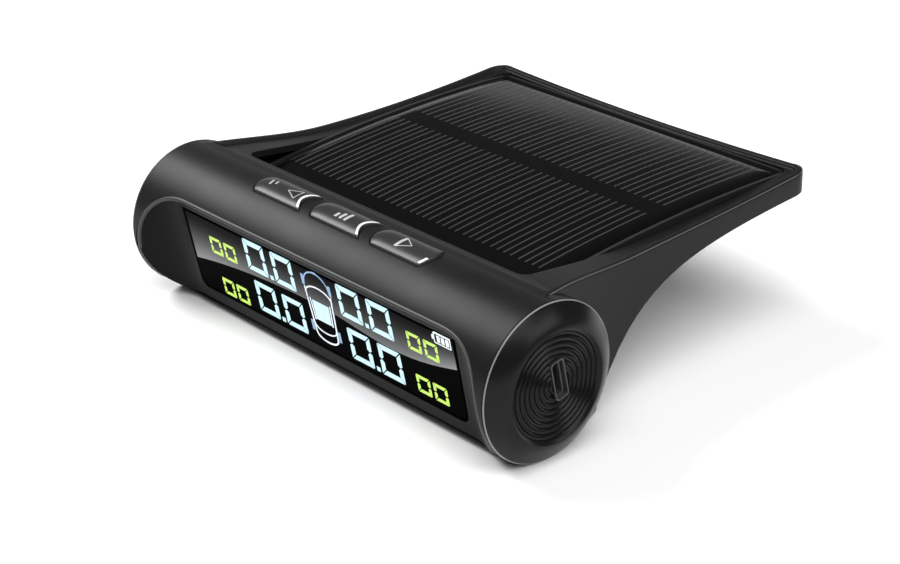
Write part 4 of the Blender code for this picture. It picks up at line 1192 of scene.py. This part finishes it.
INNER_FINISHES = {
    "board": ((0.01, 0.10, 0.045), 0.4, ("main_board", "key_board")),
    "chip": ((0.012, 0.012, 0.012), 0.5,
             ("microcontroller", "charge_controller", "buzzer", "usb_tongue", "plunger_left",
              "plunger_middle", "plunger_right")),
    "white": ((0.72, 0.72, 0.70), 0.5, ("lcd_backlight", "lcd_frame", "battery_connector")),
    "lcd": ((0.03, 0.04, 0.05), 0.12, ("lcd_glass", "light_sensor")),
    "cell": ((0.008, 0.010, 0.024), 0.25, ("solar_cells_front", "solar_cells_rear")),
    # tray: its own dark colour, darkened further to near black as painted shade in the channel round the
    # panel
    "tray": ((0.004, 0.004, 0.004), 0.6, ("solar_tray",)),
    "foam": ((0.05, 0.05, 0.05), 0.95, ("battery_foam", "lcd_connector")),
    "wrap": ((0.5, 0.52, 0.55), 0.38, ("battery",)),
    "red": ((0.45, 0.02, 0.02), 0.5, ("battery_wire_red",)),
    "black": ((0.012, 0.012, 0.012), 0.5, ("battery_wire_black",)),
}
METAL_FINISHES = {
    "steel": ((0.55, 0.55, 0.57), 0.3,
              ("radio_shield", "crystal", "switch_left", "switch_middle", "switch_right",
               "housing_screw_left", "housing_screw_right", "board_screw_left", "board_screw_right")),
    "gold": ((0.75, 0.52, 0.22), 0.28, ("antenna_coil",)),
}


def carried_over():
    """Finishes for the CAD pieces that are shown as they are."""
    for table, metallic in ((INNER_FINISHES, 0.0), (METAL_FINISHES, 1.0)):
        for name, (colour, roughness, nodes) in table.items():
            material = finish("inner_" + name, colour, roughness, metallic, grain=0.05)
            for node in nodes:
                paint(frame["nodes"][node], material)
    paint(frame["nodes"]["usb_shell"], METAL_DARK)


# ---- floor, light and camera
def studio():
    """White floor, soft surrounding light and four softboxes."""
    mesh = bmesh.new()
    bmesh.ops.create_grid(mesh, x_segments=8, y_segments=8, size=FLOOR_HALF)
    data = bpy.data.meshes.new("floor")
    mesh.to_mesh(data)
    mesh.free()
    floor = new_object("floor", data)
    material, tree, shader = base_material("floor_paper")
    clouds = noise(tree, 4.0)
    tree.links.new(spread(tree, clouds.outputs["Fac"], 0.85, 0.95), shader.inputs["Roughness"])
    set_inputs(shader, {"Base Color": (0.93, 0.93, 0.93, 1), "Specular IOR Level": 0.1})
    paint(floor, material)

    world_light = bpy.data.worlds.new("studio")
    world_light.use_nodes = True
    background = world_light.node_tree.nodes["Background"]
    set_inputs(background, {"Color": (1, 1, 1, 1), "Strength": 0.08})
    bpy.context.scene.world = world_light
    bpy.context.scene.view_settings.view_transform = "Standard"

    softbox("key", Vector((-0.62, -0.18, 0.62)), (0.50, 0.36), 7.5)
    softbox("top", Vector((0.50, -0.20, 1.0)), (1.3, 1.3), 17.5)
    softbox("rear", Vector((-0.80, 0.72, 0.24)), (0.9, 0.28), 0.55)
    softbox("right", Vector((0.85, 0.38, 0.42)), (0.6, 0.3), 1.8)


def softbox(name, position, size, power):
    data = bpy.data.lights.new(name, "AREA")
    data.shape = "RECTANGLE"
    data.size, data.size_y = size
    data.energy = power
    obj = new_object(name, data)
    obj.location = position
    obj.rotation_euler = (Vector((0, 0, 0.01)) - position).to_track_quat("-Z", "Y").to_euler()
    obj.visible_camera = False


def camera():
    data = bpy.data.cameras.new("camera")
    data.lens = 82.19
    data.sensor_width = 36.0            # both in millimetres
    obj = new_object("camera", data)
    position = Vector((0.23896, -0.21445, 0.15595))
    target = Vector((0.0, -0.00692, 0.00742))
    forward = (target - position).normalized()
    right = forward.cross(Vector((0, 0, 1))).normalized()
    up = right.cross(forward)
    roll = radians(-1.239)
    rolled_right = right * cos(roll) + up * sin(roll)
    rolled_up = up * cos(roll) - right * sin(roll)
    matrix = Matrix((rolled_right, rolled_up, -forward)).transposed().to_4x4()
    matrix.translation = position
    obj.matrix_world = matrix
    bpy.context.scene.camera = obj


# ---- build
camera()
studio()
upper_shell()
lower_shell()
opening_bead()
face_frame()
end_disc("left", -1)
end_disc("right", 1)
for end_side, end_direction in (("left", -1), ("right", 1)):
    rim_line(end_side, end_direction)
    wing_edge_line(end_side, end_direction)
socket_lip()
for number, key_side in enumerate(("left", "middle", "right")):
    keycap(number, key_side)
key_marks()
panel_cover()
panel_fingers()
display_pane()
display_painted_reflection()
display_content()
rubber_pad()
carried_over()
